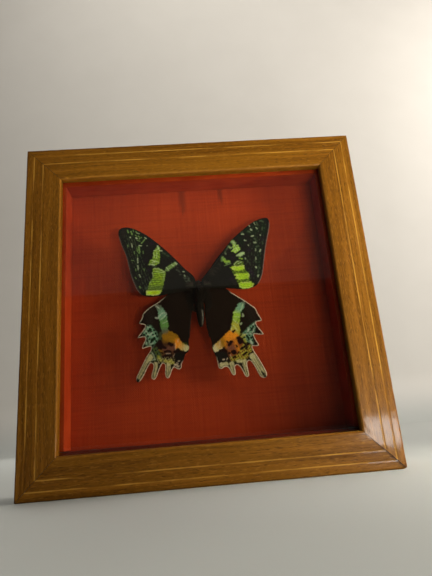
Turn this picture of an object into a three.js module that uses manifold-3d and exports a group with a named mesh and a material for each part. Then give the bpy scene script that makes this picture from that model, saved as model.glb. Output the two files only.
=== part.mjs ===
// A sunset moth, set with its wings spread, in a small square shadow-box frame.
// Millimetres. +X is to the right of someone facing the glass, +Z is up, and the glass faces -Y.
// The origin is on the ground, under the middle of the frame. "Left" is that person's left.
//
// Most pieces are placed by three measures: across (from the middle line, to the right),
// up (from the frame's centre) and depth (back from the frame's front face).
import * as THREE from 'three';
import { mergeVertices } from 'three/addons/utils/BufferGeometryUtils.js';
import Module from 'manifold-3d';

const wasm = await Module();
wasm.setup();

// ---- driving dimensions ----
const FRAME_SIZE = 180;
const FRAME_DEPTH = 30;
const GAP = 0.3; // clearance kept between touching pieces

const RAIL_WIDTH = 18.6; // outer edge to sight edge
const LIP_DEPTH = 4.5; // wood in front of the glass
const REBATE_WALL = 14; // outer edge to the rebate
const EDGE_CHAMFER = 0.7;
const GROOVES_AT = [4.2, 9]; // the two moulded lines, from the outer edge
const GROOVE_WIDTH = 0.8;
const GROOVE_DEPTH = 0.35;

const GLASS_THICKNESS = 2;
const LINING_INSET = 1.4; // how far the linings stand inside the sight edge
const BACKING_FRONT = 20.2; // depth of the red cloth's surface
const BOARD_THICKNESS = 3;

const TAB = { length: 11, width: 6, thickness: 0.8, spread: 42 };
const HANGER = { length: 44, height: 9, thickness: 1, up: 60, teeth: 9, holes: 18.5, hole: 1.5 };
const RIVET = { head: 2.7, dome: 1, shank: 1.1 };

const WING_THICKNESS = 0.5;
const FOREWING = { depth: 10.9, raise: 2 }; // depth of the back face at the root; raise in degrees
const HINDWING = { depth: 11.8, raise: 1.4 };
const SAMPLES_PER_POINT = 3; // outline vertices for each point of a wing's outline

const BODY_DEPTH = 12.3;
const HEAD = { across: -0.9, up: 10, depth: 12, radii: [2.1, 1.9, 1.5] };
const THORAX = { across: -0.6, up: 5.7, depth: BODY_DEPTH, radii: [3, 3.2, 5.3] };
const ABDOMEN_ACROSS = -0.9;
const ABDOMEN_TIP = 13.6; // distance below the frame's centre
const ABDOMEN_PROFILE = [ // radius, distance below the frame's centre
  [2, -4], [2.2, -1], [2.2, 3], [2, 7], [1.6, 10.5], [0.9, 12.8],
];

const PIN = { across: -0.6, up: 6.2, head: 0.7, shank: 0.25, top: 7.5, point: 22.4 };
const PIN_HOLE_DEPTH = BACKING_FRONT + 2.6;
const ANTENNA_RADIUS = 0.22;

// Wing outlines, points of [across, up], each set by hand round its wing.
const WING_OUTLINES = {
  forewing_left: [
    [-3.9, 11.2], [-5.1, 15], [-8.5, 19.8], [-15.2, 27.8], [-21.3, 34], [-27, 39], [-33, 42.8],
    [-38.5, 44.4], [-41.7, 43.4], [-42.4, 40.6], [-41.1, 34.5], [-38.6, 27.6], [-37.2, 20.4],
    [-35.3, 13], [-32.6, 7], [-30.2, 5], [-25, 4], [-18.5, 4.7], [-9, 6.2], [-4, 6.5],
  ],
  forewing_right: [
    [2.7, 11], [4.6, 15.2], [8, 20.6], [13, 26.5], [19.4, 33.6], [25.2, 38.4], [31.4, 42.8],
    [37, 45], [40.2, 44.8], [41.1, 42], [40.1, 36.8], [38.2, 30.5], [36.5, 23.5],
    [35.2, 17.5], [33.8, 12], [31.6, 7.8], [29.2, 5.9], [24.5, 4.8], [18, 5.5], [9, 6.7], [2.8, 6.8],
  ],
  hindwing_left: [
    [-4.8, 7.8], [-10, 8.8], [-14.2, 7.4], [-17.6, 5], [-21, 2.3], [-24, 0.4], [-26.6, -1], [-29, -2.8],
    [-30.8, -4.7], [-31.4, -6.8], [-32.9, -9.6], [-30.1, -10.7], [-30.2, -11.9], [-31.6, -14],
    [-34, -17.2], [-30.4, -17], [-30.2, -18.6], [-31.2, -20.4], [-31.9, -22.9], [-29.4, -22.4],
    [-27.5, -22.2], [-27.7, -24], [-29.9, -27.2], [-32.3, -31.5], [-34.1, -35], [-35.4, -38],
    [-34.7, -39.8], [-33.2, -38.9], [-31.3, -36.2], [-29.6, -33], [-27.9, -30.6], [-26.7, -31.3],
    [-26.6, -33], [-27.5, -35.8], [-27.8, -38], [-26.6, -39.1], [-25.3, -38], [-24.1, -35.2],
    [-22.9, -32.7], [-21.8, -31.2], [-20.7, -32], [-20.7, -34], [-20.9, -36.6], [-20.3, -38.5],
    [-19.3, -38.8], [-18.3, -37.5], [-17.4, -35.2], [-16.2, -33.6], [-14.9, -34.3], [-13.5, -34.8],
    [-12.4, -33.9], [-12.2, -32.2], [-11, -30], [-10.1, -27.4], [-8.6, -26.2], [-7.9, -24],
    [-8, -21.4], [-7.5, -17.5], [-6.8, -12.5], [-5.8, -6.5], [-4.8, -0.5],
  ],
  hindwing_right: [
    [3.4, 7.8], [9, 8.8], [13, 6.8], [16.4, 3.9], [20, 1.2], [23, -1.1], [26, -3.6], [28.4, -5.9],
    [29.3, -8.6],
    [31, -12.6], [28, -13.3], [28.4, -15.4], [31.2, -19.9], [28.7, -20], [26.2, -19.6],
    [26.8, -22.3], [28.2, -25.6], [26.3, -25.9], [24.7, -25.9], [25.5, -28.6], [27.3, -32],
    [29.2, -36.2], [30.7, -40.2], [30.2, -42], [28.9, -42.4], [27.2, -41.5], [25.7, -38.4],
    [24.2, -35], [22.8, -33.2], [21.5, -33.5], [21.1, -35.2], [21.5, -38.4], [21.6, -40.4],
    [20.6, -41.3], [19.5, -40.6], [18.5, -38], [17, -35.5], [15.8, -34.8], [14.8, -35.6],
    [14.9, -38], [14.7, -39.5], [13.8, -39.9], [12.8, -39], [11.9, -36.6], [10.7, -35.3],
    [9.3, -35.4], [8, -36.2], [6.6, -35.7], [6.2, -34.2], [6, -32.2], [5.4, -29.5], [4.7, -27.4],
    [4, -25], [4, -22], [2.9, -18], [2.1, -13], [1.8, -8], [1.8, -3.5], [2.6, 1.5],
  ],
};
// Routes of the antennae, points of [across, up, depth], laid back over the forewings' front edges.
const ANTENNA_ROUTES = {
  antenna_left: [[-2, 11.6, 10.1], [-4.6, 14.2, 9.5], [-8.8, 18.9, 9.4], [-14.6, 25.6, 9.3]],
  antenna_right: [[0.2, 11.6, 10.1], [3.6, 14.1, 9.5], [8.3, 19.4, 9.4], [13.8, 26, 9.3]],
};

// ---- materials ----
function material(color, roughness, metalness = 0) {
  return new THREE.MeshStandardMaterial({ color, roughness, metalness });
}
const stainedWood = material('#8a5a26', 0.45);
const redPaint = material('#7c2416', 0.4);
const redCloth = material('#8f2f1c', 0.85);
const hardboard = material('#6b4a2c', 0.8);
const clearGlass = material('#e8f0ee', 0.03);
clearGlass.transparent = true;
clearGlass.opacity = 0.2;
const darkScales = material('#1d1712', 0.7);
const forewingScales = material('#23301a', 0.55);
const hindwingScales = material('#4a3a1c', 0.55);
const blackPin = material('#151515', 0.3, 0.6);
const zincedSteel = material('#a8a9a6', 0.35, 1);
const brassPlate = material('#b08d4a', 0.35, 1);

// ---- places and small helpers ----
const part = new THREE.Group();
const yAt = (depth) => depth - FRAME_DEPTH / 2;
const zAt = (up) => up + FRAME_SIZE / 2;

function add(name, geometry, look, across = 0, up = 0, depth = FRAME_DEPTH / 2) {
  const mesh = new THREE.Mesh(geometry, look);
  mesh.name = name;
  mesh.position.set(across, yAt(depth), zAt(up));
  part.add(mesh);
  return mesh;
}

function solidFrom(geometry) {
  const bare = geometry.clone();
  bare.deleteAttribute('normal');
  bare.deleteAttribute('uv');
  const merged = mergeVertices(bare, 1e-4);
  return new wasm.Manifold(new wasm.Mesh({
    numProp: 3,
    vertProperties: new Float32Array(merged.attributes.position.array),
    triVerts: new Uint32Array(merged.index.array),
  }));
}

function geometryFrom(solid) {
  const { vertProperties, triVerts } = solid.getMesh();
  const geometry = new THREE.BufferGeometry();
  geometry.setAttribute('position', new THREE.BufferAttribute(vertProperties, 3));
  geometry.setIndex(new THREE.BufferAttribute(triVerts, 1));
  geometry.computeVertexNormals();
  return geometry;
}

// A flat plate in the plane of the glass; the outline's points are [across, up] and the
// plate's back face is at y = 0.
function plate(outline, thickness, holes = []) {
  const shape = new THREE.Shape(outline.map(([across, up]) => new THREE.Vector2(across, up)));
  for (const [across, up, radius] of holes) {
    shape.holes.push(new THREE.Path().absarc(across, up, radius, 0, 2 * Math.PI, true));
  }
  const options = { depth: thickness, bevelEnabled: false, curveSegments: 10 };
  return new THREE.ExtrudeGeometry(shape, options).rotateX(Math.PI / 2);
}

// ---- wooden frame ----
// The rail's section, points of [inward, depth], with its two V grooves in the front face.
function railSection() {
  const front = GROOVES_AT.flatMap((at) => [
    [at - GROOVE_WIDTH / 2, 0], [at, GROOVE_DEPTH], [at + GROOVE_WIDTH / 2, 0],
  ]);
  return [
    [0, EDGE_CHAMFER], [EDGE_CHAMFER, 0], ...front, [RAIL_WIDTH - EDGE_CHAMFER, 0],
    [RAIL_WIDTH, EDGE_CHAMFER], [RAIL_WIDTH, LIP_DEPTH], [REBATE_WALL, LIP_DEPTH],
    [REBATE_WALL, FRAME_DEPTH], [0, FRAME_DEPTH],
  ];
}

// The bottom rail about the frame's centre: the section run along X, its ends cut at 45 degrees.
function mitredRail(section) {
  const mitreGap = GAP / Math.SQRT2;
  const corners = section.length;
  const positions = [-1, 1].flatMap((end) => section.flatMap(([inward, depth]) => [
    end * (FRAME_SIZE / 2 - inward - mitreGap), yAt(depth), inward - FRAME_SIZE / 2,
  ]));
  const contour = section.map(([inward, depth]) => new THREE.Vector2(inward, depth));
  const caps = THREE.ShapeUtils.triangulateShape(contour, []);
  const index = caps.flatMap(([a, b, c]) => [a, b, c, c + corners, b + corners, a + corners]);
  for (let i = 0; i < corners; i++) {
    const next = (i + 1) % corners;
    index.push(next, i, next + corners, next + corners, i, i + corners);
  }
  const geometry = new THREE.BufferGeometry();
  geometry.setAttribute('position', new THREE.Float32BufferAttribute(positions, 3));
  geometry.setIndex(index);
  const flat = geometry.toNonIndexed();
  flat.computeVertexNormals();
  return flat;
}

function addFrame() {
  const rail = mitredRail(railSection());
  ['rail_bottom', 'rail_left', 'rail_top', 'rail_right'].forEach((name, turns) => {
    add(name, rail, stainedWood).rotation.y = turns * Math.PI / 2;
  });
}

// ---- glass, linings and boards ----
const REBATE_SIZE = FRAME_SIZE - 2 * (REBATE_WALL + GAP);
const GLASS_FRONT = LIP_DEPTH + GAP;
const LINING_FRONT = GLASS_FRONT + GLASS_THICKNESS + GAP;
const LINING_DEPTH = BACKING_FRONT - GAP - LINING_FRONT;
const LINING_THICKNESS = RAIL_WIDTH + LINING_INSET - REBATE_WALL - GAP;
const PANEL_FRONT = BACKING_FRONT + BOARD_THICKNESS + GAP;
const RECESS_FLOOR = PANEL_FRONT + BOARD_THICKNESS;

function board(thickness) {
  return new THREE.BoxGeometry(REBATE_SIZE, thickness, REBATE_SIZE);
}

function addGlass() {
  add('glass_pane', board(GLASS_THICKNESS), clearGlass, 0, 0, GLASS_FRONT + GLASS_THICKNESS / 2);
}

// Top and bottom linings run the full width; the side ones fit between them.
function addLinings() {
  const depth = LINING_FRONT + LINING_DEPTH / 2;
  const middle = (REBATE_SIZE - LINING_THICKNESS) / 2;
  const sideHeight = REBATE_SIZE - 2 * (LINING_THICKNESS + GAP);
  const flat = new THREE.BoxGeometry(REBATE_SIZE, LINING_DEPTH, LINING_THICKNESS);
  const upright = new THREE.BoxGeometry(LINING_THICKNESS, LINING_DEPTH, sideHeight);
  add('lining_top', flat, redPaint, 0, middle, depth);
  add('lining_bottom', flat, redPaint, 0, -middle, depth);
  add('lining_left', upright, redPaint, -middle, 0, depth);
  add('lining_right', upright, redPaint, middle, 0, depth);
}

function pinHole(back) {
  const sides = 16;
  const length = back + 1;
  return solidFrom(new THREE.CylinderGeometry(PIN.shank + GAP, PIN.shank + GAP, length, sides)
    .translate(PIN.across, yAt(back - length / 2), zAt(PIN.up)));
}

function addBoards() {
  const depth = BACKING_FRONT + BOARD_THICKNESS / 2;
  const whole = solidFrom(board(BOARD_THICKNESS).translate(0, yAt(depth), zAt(0)));
  const backing = geometryFrom(whole.subtract(pinHole(PIN_HOLE_DEPTH)));
  add('backing_board', backing.translate(0, -yAt(depth), -zAt(0)), redCloth, 0, 0, depth);
  add('back_panel', board(BOARD_THICKNESS), hardboard, 0, 0, PANEL_FRONT + BOARD_THICKNESS / 2);
}

// ---- fittings on the back ----
// Two flat steel tabs on each side, their outer ends against the rebate wall.
function addFixingTabs() {
  const { length, width, thickness, spread } = TAB;
  const corner = width / 4;
  const outline = [
    [-width / 2, 0], [width / 2, 0], [width / 2, length - corner], [width / 2 - corner, length],
    [corner - width / 2, length], [-width / 2, length - corner],
  ];
  const tab = plate(outline, thickness);
  ['bottom', 'left', 'top', 'right'].forEach((side, turns) => {
    for (const [end, along] of [['a', -spread], ['b', spread]]) {
      const name = `fixing_tab_${side}_${end}`;
      const shaped = tab.clone().translate(along, 0, -REBATE_SIZE / 2);
      const mesh = add(name, shaped, zincedSteel, 0, 0, RECESS_FLOOR + GAP + thickness);
      mesh.rotation.y = turns * Math.PI / 2;
    }
  });
}

// A plate with round ends and a row of teeth along its lower edge.
function hangerOutline() {
  const { length, height, teeth } = HANGER;
  const low = -height / 2;
  const toothWidth = 3;
  const toothHeight = 2;
  const round = height / 2;
  const points = [];
  const lastTooth = -teeth * toothWidth / 2;
  for (let i = 0; i < teeth; i++) {
    const across = lastTooth + i * toothWidth;
    points.push([across, low], [across + toothWidth / 2, low + toothHeight]);
  }
  points.push([-lastTooth, low]);
  for (const end of [1, -1]) {
    for (let step = 0; step <= 8; step++) {
      const angle = -end * Math.PI / 2 + step * Math.PI / 8;
      const across = end * (length / 2 - round);
      points.push([across + round * Math.cos(angle), round * Math.sin(angle)]);
    }
  }
  return points;
}

function addHanger() {
  const { thickness, up, holes, hole } = HANGER;
  const back = RECESS_FLOOR + GAP + thickness;
  const drilled = [[-holes, 0, hole], [holes, 0, hole]];
  add('sawtooth_hanger', plate(hangerOutline(), thickness, drilled), brassPlate, 0, up, back);
  const rivet = new THREE.LatheGeometry([
    new THREE.Vector2(0, -thickness),
    new THREE.Vector2(RIVET.shank, -thickness),
    new THREE.Vector2(RIVET.shank, GAP),
    new THREE.Vector2(RIVET.head, GAP),
    new THREE.Vector2(0.8 * RIVET.head, GAP + 0.7 * RIVET.dome),
    new THREE.Vector2(0, GAP + RIVET.dome),
  ], 20);
  add('hanger_rivet_left', rivet, brassPlate, -holes, up, back);
  add('hanger_rivet_right', rivet, brassPlate, holes, up, back);
}

// ---- moth ----
function ellipsoid({ across, up, depth, radii }) {
  return solidFrom(new THREE.SphereGeometry(1, 20, 14)
    .scale(...radii)
    .translate(across, yAt(depth), zAt(up)));
}

function abdomen() {
  const rows = ABDOMEN_PROFILE.map(([radius, down]) => new THREE.Vector2(radius, -down));
  const top = new THREE.Vector2(0, rows[0].y);
  const tip = new THREE.Vector2(0, -ABDOMEN_TIP);
  return solidFrom(new THREE.LatheGeometry([tip, ...rows.reverse(), top], 18)
    .rotateX(Math.PI / 2)
    .translate(ABDOMEN_ACROSS, yAt(BODY_DEPTH), zAt(0)));
}

function addBody() {
  const whole = ellipsoid(HEAD).add(ellipsoid(THORAX)).add(abdomen());
  const drilled = geometryFrom(whole.subtract(pinHole(BODY_DEPTH + 2 * THORAX.radii[1])));
  const { across, up, depth } = THORAX;
  add('moth_body', drilled.translate(-across, -yAt(depth), -zAt(up)), darkScales, across, up, depth);
}

// The wing's outline is smoothed through its points, and the wing is turned about its root so
// that its tip stands a little nearer the glass.
function addWing(name, { depth, raise }, look) {
  const outline = WING_OUTLINES[name];
  const side = Math.sign(outline[0][0]);
  const [rootAcross, rootUp] = outline[0];
  const points = outline.map(([across, up]) => new THREE.Vector3(across - rootAcross, up - rootUp, 0));
  const curve = new THREE.CatmullRomCurve3(points, true, 'centripetal');
  const smooth = curve.getPoints(points.length * SAMPLES_PER_POINT).slice(0, -1);
  const geometry = plate(smooth.map(({ x, y }) => [x, y]), WING_THICKNESS);
  const mesh = add(name, geometry, look, rootAcross, rootUp, depth);
  mesh.rotation.z = -side * THREE.MathUtils.degToRad(raise);
}

function addAntenna(name) {
  const route = ANTENNA_ROUTES[name].map(([x, up, depth]) => new THREE.Vector3(x, yAt(depth), zAt(up)));
  const circle = new THREE.Shape().absarc(0, 0, ANTENNA_RADIUS, 0, 2 * Math.PI);
  const curve = new THREE.CatmullRomCurve3(route);
  const tube = new THREE.ExtrudeGeometry(circle, { extrudePath: curve, steps: 16, curveSegments: 3 });
  const middle = curve.getPoint(0.5);
  const centred = tube.translate(-middle.x, -middle.y, -middle.z);
  const up = middle.z - zAt(0);
  add(name, centred, darkScales, middle.x, up, middle.y + FRAME_DEPTH / 2);
}

// A headed pin on the depth axis, through the thorax and into the backing board.
function addPin() {
  const { across, up, head, shank, top, point } = PIN;
  const neck = top + 2 * head;
  const profile = [
    [0, top], [0.7 * head, top + 0.3 * head], [head, top + head], [0.7 * head, neck - 0.3 * head],
    [shank, neck], [shank, point - 1], [0, point],
  ].map(([radius, depth]) => new THREE.Vector2(radius, depth));
  add('insect_pin', new THREE.LatheGeometry(profile, 12), blackPin, across, up, 0);
}

function addMoth() {
  addBody();
  addWing('forewing_left', FOREWING, forewingScales);
  addWing('forewing_right', FOREWING, forewingScales);
  addWing('hindwing_left', HINDWING, hindwingScales);
  addWing('hindwing_right', HINDWING, hindwingScales);
  addAntenna('antenna_left');
  addAntenna('antenna_right');
  addPin();
}

addFrame();
addGlass();
addLinings();
addBoards();
addFixingTabs();
addHanger();
addMoth();

export default part;
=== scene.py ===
"""Looks for the framed sunset moth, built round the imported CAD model.

Everything is in metres in the model's frame: +X to the right of someone facing the glass, +Y towards
the back, +Z up, with the origin on the ground under the middle of the frame. Most places are given
in millimetres as across (from the middle line), up (from the frame's centre) and depth (back from
the frame's front face), and point() turns them into metres.
"""
import itertools
import math

import bmesh
import bpy
import numpy as np
from mathutils import Matrix, Vector
from mathutils.geometry import delaunay_2d_cdt


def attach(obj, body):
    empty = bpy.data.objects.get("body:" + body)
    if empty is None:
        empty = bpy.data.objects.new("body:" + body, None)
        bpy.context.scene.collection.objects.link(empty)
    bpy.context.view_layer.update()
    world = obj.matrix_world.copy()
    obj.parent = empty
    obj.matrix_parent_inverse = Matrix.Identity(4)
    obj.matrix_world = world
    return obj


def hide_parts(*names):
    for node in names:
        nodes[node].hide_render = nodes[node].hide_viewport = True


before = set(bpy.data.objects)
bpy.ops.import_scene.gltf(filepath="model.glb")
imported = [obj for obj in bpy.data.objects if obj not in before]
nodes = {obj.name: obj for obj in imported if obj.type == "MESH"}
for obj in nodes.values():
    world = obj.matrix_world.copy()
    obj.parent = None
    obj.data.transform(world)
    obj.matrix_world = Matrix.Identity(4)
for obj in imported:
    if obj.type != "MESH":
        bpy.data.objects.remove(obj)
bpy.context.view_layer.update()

MM = 0.001
FRAME_SIZE = 180.0
FRAME_DEPTH = 30.0
HALF = FRAME_SIZE / 2
RAIL_WIDTH = 18.6
LIP_DEPTH = 4.5
REBATE_WALL = 14.0
GROOVES_AT = (4.2, 9.0)


def point(across, up, depth):
    """A place on the object in metres."""
    return Vector((across, depth - FRAME_DEPTH / 2, up + HALF)) * MM


def points(places):
    """Many places, an array of (across, up, depth) rows, in metres."""
    across, up, depth = np.asarray(places, float).T
    return np.stack([across, depth - FRAME_DEPTH / 2, up + HALF], axis=1) * MM


# ---- camera, stage and light ----

# Place as (across, up, depth) in millimetres, and angles in degrees
CAMERA_PLACE = (-5.4, -64.8, -230.1)
CAMERA_YAW, CAMERA_PITCH, CAMERA_ROLL = 3.3, 16.56, 4.8
CAMERA_LENS = 29.36


def turned(yaw, pitch, roll=0.0):
    """The rotation of a camera that looks along +Y, turned right, tipped up and rolled."""
    yaw, pitch, roll = (math.radians(a) for a in (yaw, pitch, roll))
    tip = Matrix.Rotation(math.pi / 2 + pitch, 4, "X")
    return Matrix.Rotation(-yaw, 4, "Z") @ tip @ Matrix.Rotation(-roll, 4, "Z")


def add_object(name, data):
    made = bpy.data.objects.new(name, data)
    bpy.context.scene.collection.objects.link(made)
    return made


def make_camera():
    data = bpy.data.cameras.new("camera")
    data.lens = CAMERA_LENS
    data.clip_start = 0.01
    camera = add_object("camera", data)
    rotation = turned(CAMERA_YAW, CAMERA_PITCH, CAMERA_ROLL)
    camera.matrix_world = Matrix.Translation(point(*CAMERA_PLACE)) @ rotation
    bpy.context.scene.camera = camera


def area_lamp(name, place, aim, size, watts, colour, glossy=False, spread=180):
    """A rectangular lamp that leaves no reflection of itself unless it is glossy."""
    data = bpy.data.lights.new(name, "AREA")
    data.shape = "RECTANGLE"
    data.size, data.size_y = size
    data.energy = watts
    data.color = colour
    data.spread = math.radians(spread)
    lamp = add_object(name, data)
    lamp.location = place
    lamp.rotation_euler = (Vector(aim) - lamp.location).to_track_quat("-Z", "Y").to_euler()
    lamp.visible_glossy = lamp.visible_transmission = glossy


def keep_light_on(lamp, pieces):
    """Let a lamp light, and shine in, these pieces and nothing else."""
    receivers = bpy.data.collections.new(f"lit_by_{lamp.name}")
    for piece in pieces:
        receivers.objects.link(piece)
    lamp.light_linking.receiver_collection = receivers


def make_lights():
    frame_middle = point(0, 0, 0)
    area_lamp("key", (0.31, -0.35, 0.33), frame_middle, (0.2, 0.2), 0.355, (1.0, 0.95, 0.86))
    area_lamp("side", (0.25, -0.11, 0.16), frame_middle, (0.07, 0.1), 0.5, (1.0, 0.94, 0.84))
    area_lamp("fill", (-0.4, -0.9, 0.7), frame_middle, (1.0, 1.0), 0.11, (0.97, 0.97, 0.97))
    area_lamp("rear", (-0.4, 0.62, 0.55), frame_middle, (0.5, 0.5), 2.2, (1.0, 0.97, 0.92))
    area_lamp("bounce", (0.12, -0.26, 0.02), (0.01, 0.0, 0.17), (0.16, 0.06), 0.078, (1.0, 0.97, 0.9),
              spread=56)
    area_lamp("pane", (0.03, -0.9, 0.60), (0.03, 0.0, 0.60), (0.95, 0.47), 0.09, (1.0, 0.98, 0.9),
              glossy=True)
    area_lamp("glint", (0.145, -0.155, 0.0125), (0.086, -0.015, 0.012), (0.05, 0.021), 0.085,
              (1.0, 0.98, 0.93), glossy=True)
    area_lamp("low", (0.3, -0.085, 0.045), (0.08, -0.015, 0.01), (0.05, 0.04), 0.21, (1.0, 0.93, 0.78),
              spread=100)
    area_lamp("wall_wash", (1.6, 0.1, 1.0), (0.9, 0.95, 0.5), (0.5, 0.5), 27, (1.0, 0.93, 0.85))
    area_lamp("wall_top", (0.0, 0.2, 1.7), (0.0, 0.95, 0.5), (1.0, 0.6), 7, (1.0, 0.95, 0.87))
    world = bpy.data.worlds.new("studio")
    bpy.context.scene.world = world
    world.use_nodes = True
    background = world.node_tree.nodes["Background"]
    background.inputs["Color"].default_value = (0.90, 0.80, 0.68, 1)
    background.inputs["Strength"].default_value = 0.02


def make_stage():
    """A pale grey floor that turns up into a plain white wall well behind the object."""
    look = Look("stage_paint")
    place = look.millimetres()
    mottle = look.noise(place, 0.012, 3)
    paint = look.ramp(mottle, [(0.3, (0.71, 0.69, 0.65)), (0.7, (0.73, 0.71, 0.67))])
    floor_paint = look.ramp(mottle, [(0.3, (0.405, 0.425, 0.41)), (0.7, (0.42, 0.44, 0.425))])
    paint = look.mix(look.step(look.parts(place)[2], 0.0, 110.0), floor_paint, paint)
    look.surface(paint, look.ramp(mottle, [(0.3, 0.66), (0.7, 0.74)]))
    radius, wall, front, side = 0.12, 0.95, -1.6, 2.4
    arc = [(wall - radius + radius * math.sin(a), radius - radius * math.cos(a))
           for a in np.linspace(0, math.pi / 2, 16)]
    profile = [(front, 0.0), (0.0, 0.0)] + arc + [(wall, 2.2)]
    # The floor in front stays out of reflections, so that glass and varnish show only the lamps
    for name, part, mirrored in (("floor", profile[:2], False), ("wall", profile[1:], True)):
        verts = [(x, y, z) for x in (-side, side) for y, z in part]
        count = len(part)
        faces = [(i, i + count, i + count + 1, i + 1) for i in range(count - 1)]
        mesh = bpy.data.meshes.new(name)
        mesh.from_pydata(verts, [], faces)
        mesh.shade_smooth()
        backdrop = add_object(name, mesh)
        backdrop.data.materials.append(look.material)
        backdrop.visible_glossy = mirrored


# ---- materials ----


class Look:
    """A material, with short calls that add its nodes."""

    def __init__(self, name):
        self.material = bpy.data.materials.new(name)
        self.material.use_nodes = True
        self.tree = self.material.node_tree
        self.tree.nodes.clear()

    def add(self, kind, inputs=None, **settings):
        node = self.tree.nodes.new("ShaderNode" + kind)
        for key, value in settings.items():
            setattr(node, key, value)
        for key, value in (inputs or {}).items():
            self.feed(node.inputs[key], value)
        return node

    def feed(self, socket, value):
        if isinstance(value, bpy.types.NodeSocket):
            self.tree.links.new(value, socket)
        elif socket.type == "RGBA":
            socket.default_value = (*value[:3], 1.0)
        else:
            socket.default_value = value

    def millimetres(self):
        """The surface's place in millimetres, about its object's own origin."""
        return self.scaled(self.add("TexCoord").outputs["Object"], (1000, 1000, 1000))

    def scaled(self, vector, scale):
        return self.add("VectorMath", {0: vector, 1: scale}, operation="MULTIPLY").outputs[0]

    def moved(self, vector, offset):
        return self.add("VectorMath", {0: vector, 1: offset}, operation="ADD").outputs[0]

    def parts(self, vector):
        return self.add("SeparateXYZ", {0: vector}).outputs

    def joined(self, x, y, z):
        return self.add("CombineXYZ", {0: x, 1: y, 2: z}).outputs[0]

    def attribute(self, name, output="Fac"):
        return self.add("Attribute", attribute_name=name).outputs[output]

    def math(self, operation, a, b=0.0):
        return self.add("Math", {0: a, 1: b}, operation=operation).outputs[0]

    def noise(self, vector, scale, detail=2.0):
        inputs = {"Vector": vector, "Scale": scale, "Detail": detail}
        return self.add("TexNoise", inputs).outputs["Fac"]

    def ramp(self, value, stops):
        """Colours, or grey levels, at places from 0 to 1."""
        node = self.add("ValToRGB", {"Fac": value})
        elements = node.color_ramp.elements
        while len(elements) < len(stops):
            elements.new(1.0)
        for element, (at, colour) in zip(elements, stops):
            element.position = at
            element.color = (*colour, 1.0) if isinstance(colour, tuple) else (colour,) * 3 + (1.0,)
        return node.outputs["Color"]

    def step(self, value, low, high):
        """0 at low, 1 at high, smooth between; low may be the larger."""
        inputs = {"Value": value, "From Min": low, "From Max": high}
        return self.add("MapRange", inputs, interpolation_type="SMOOTHSTEP").outputs[0]

    def mix(self, share, a, b, blend="MIX"):
        node = self.add("Mix", data_type="RGBA", blend_type=blend)
        for index, value in ((0, share), (6, a), (7, b)):
            self.feed(node.inputs[index], value)
        return node.outputs[2]

    def bump(self, height, distance, normal=None):
        """Relief of so many millimetres."""
        inputs = {"Height": height, "Distance": distance * MM}
        if normal is not None:
            inputs["Normal"] = normal
        return self.add("Bump", inputs).outputs["Normal"]

    def surface(self, base, roughness, normal=None, **constants):
        """A Principled surface; each constant is set on the shader's own socket."""
        inputs = {"Base Color": base, "Roughness": roughness}
        if normal is not None:
            inputs["Normal"] = normal
        shader = self.add("BsdfPrincipled", inputs)
        for key, value in constants.items():
            self.feed(shader.inputs[key.replace("_", " ")], value)
        self.add("OutputMaterial", {"Surface": shader.outputs[0]})
        return shader


def glass_look():
    """Clear picture glass that lets the lamps' light through to the case behind it."""
    look = Look("clear_glass")
    glass = look.surface((0.97, 0.99, 0.98), 0.0, IOR=1.5, Transmission_Weight=1.0)
    clear = look.add("BsdfTransparent", {"Color": (0.95, 0.97, 0.96)})
    shadow = look.add("LightPath").outputs["Is Shadow Ray"]
    mixed = look.add("MixShader", {0: shadow, 1: glass.outputs[0], 2: clear.outputs[0]})
    output = next(n for n in look.tree.nodes if n.type == "OUTPUT_MATERIAL")
    look.feed(output.inputs["Surface"], mixed.outputs[0])
    return look.material


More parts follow.
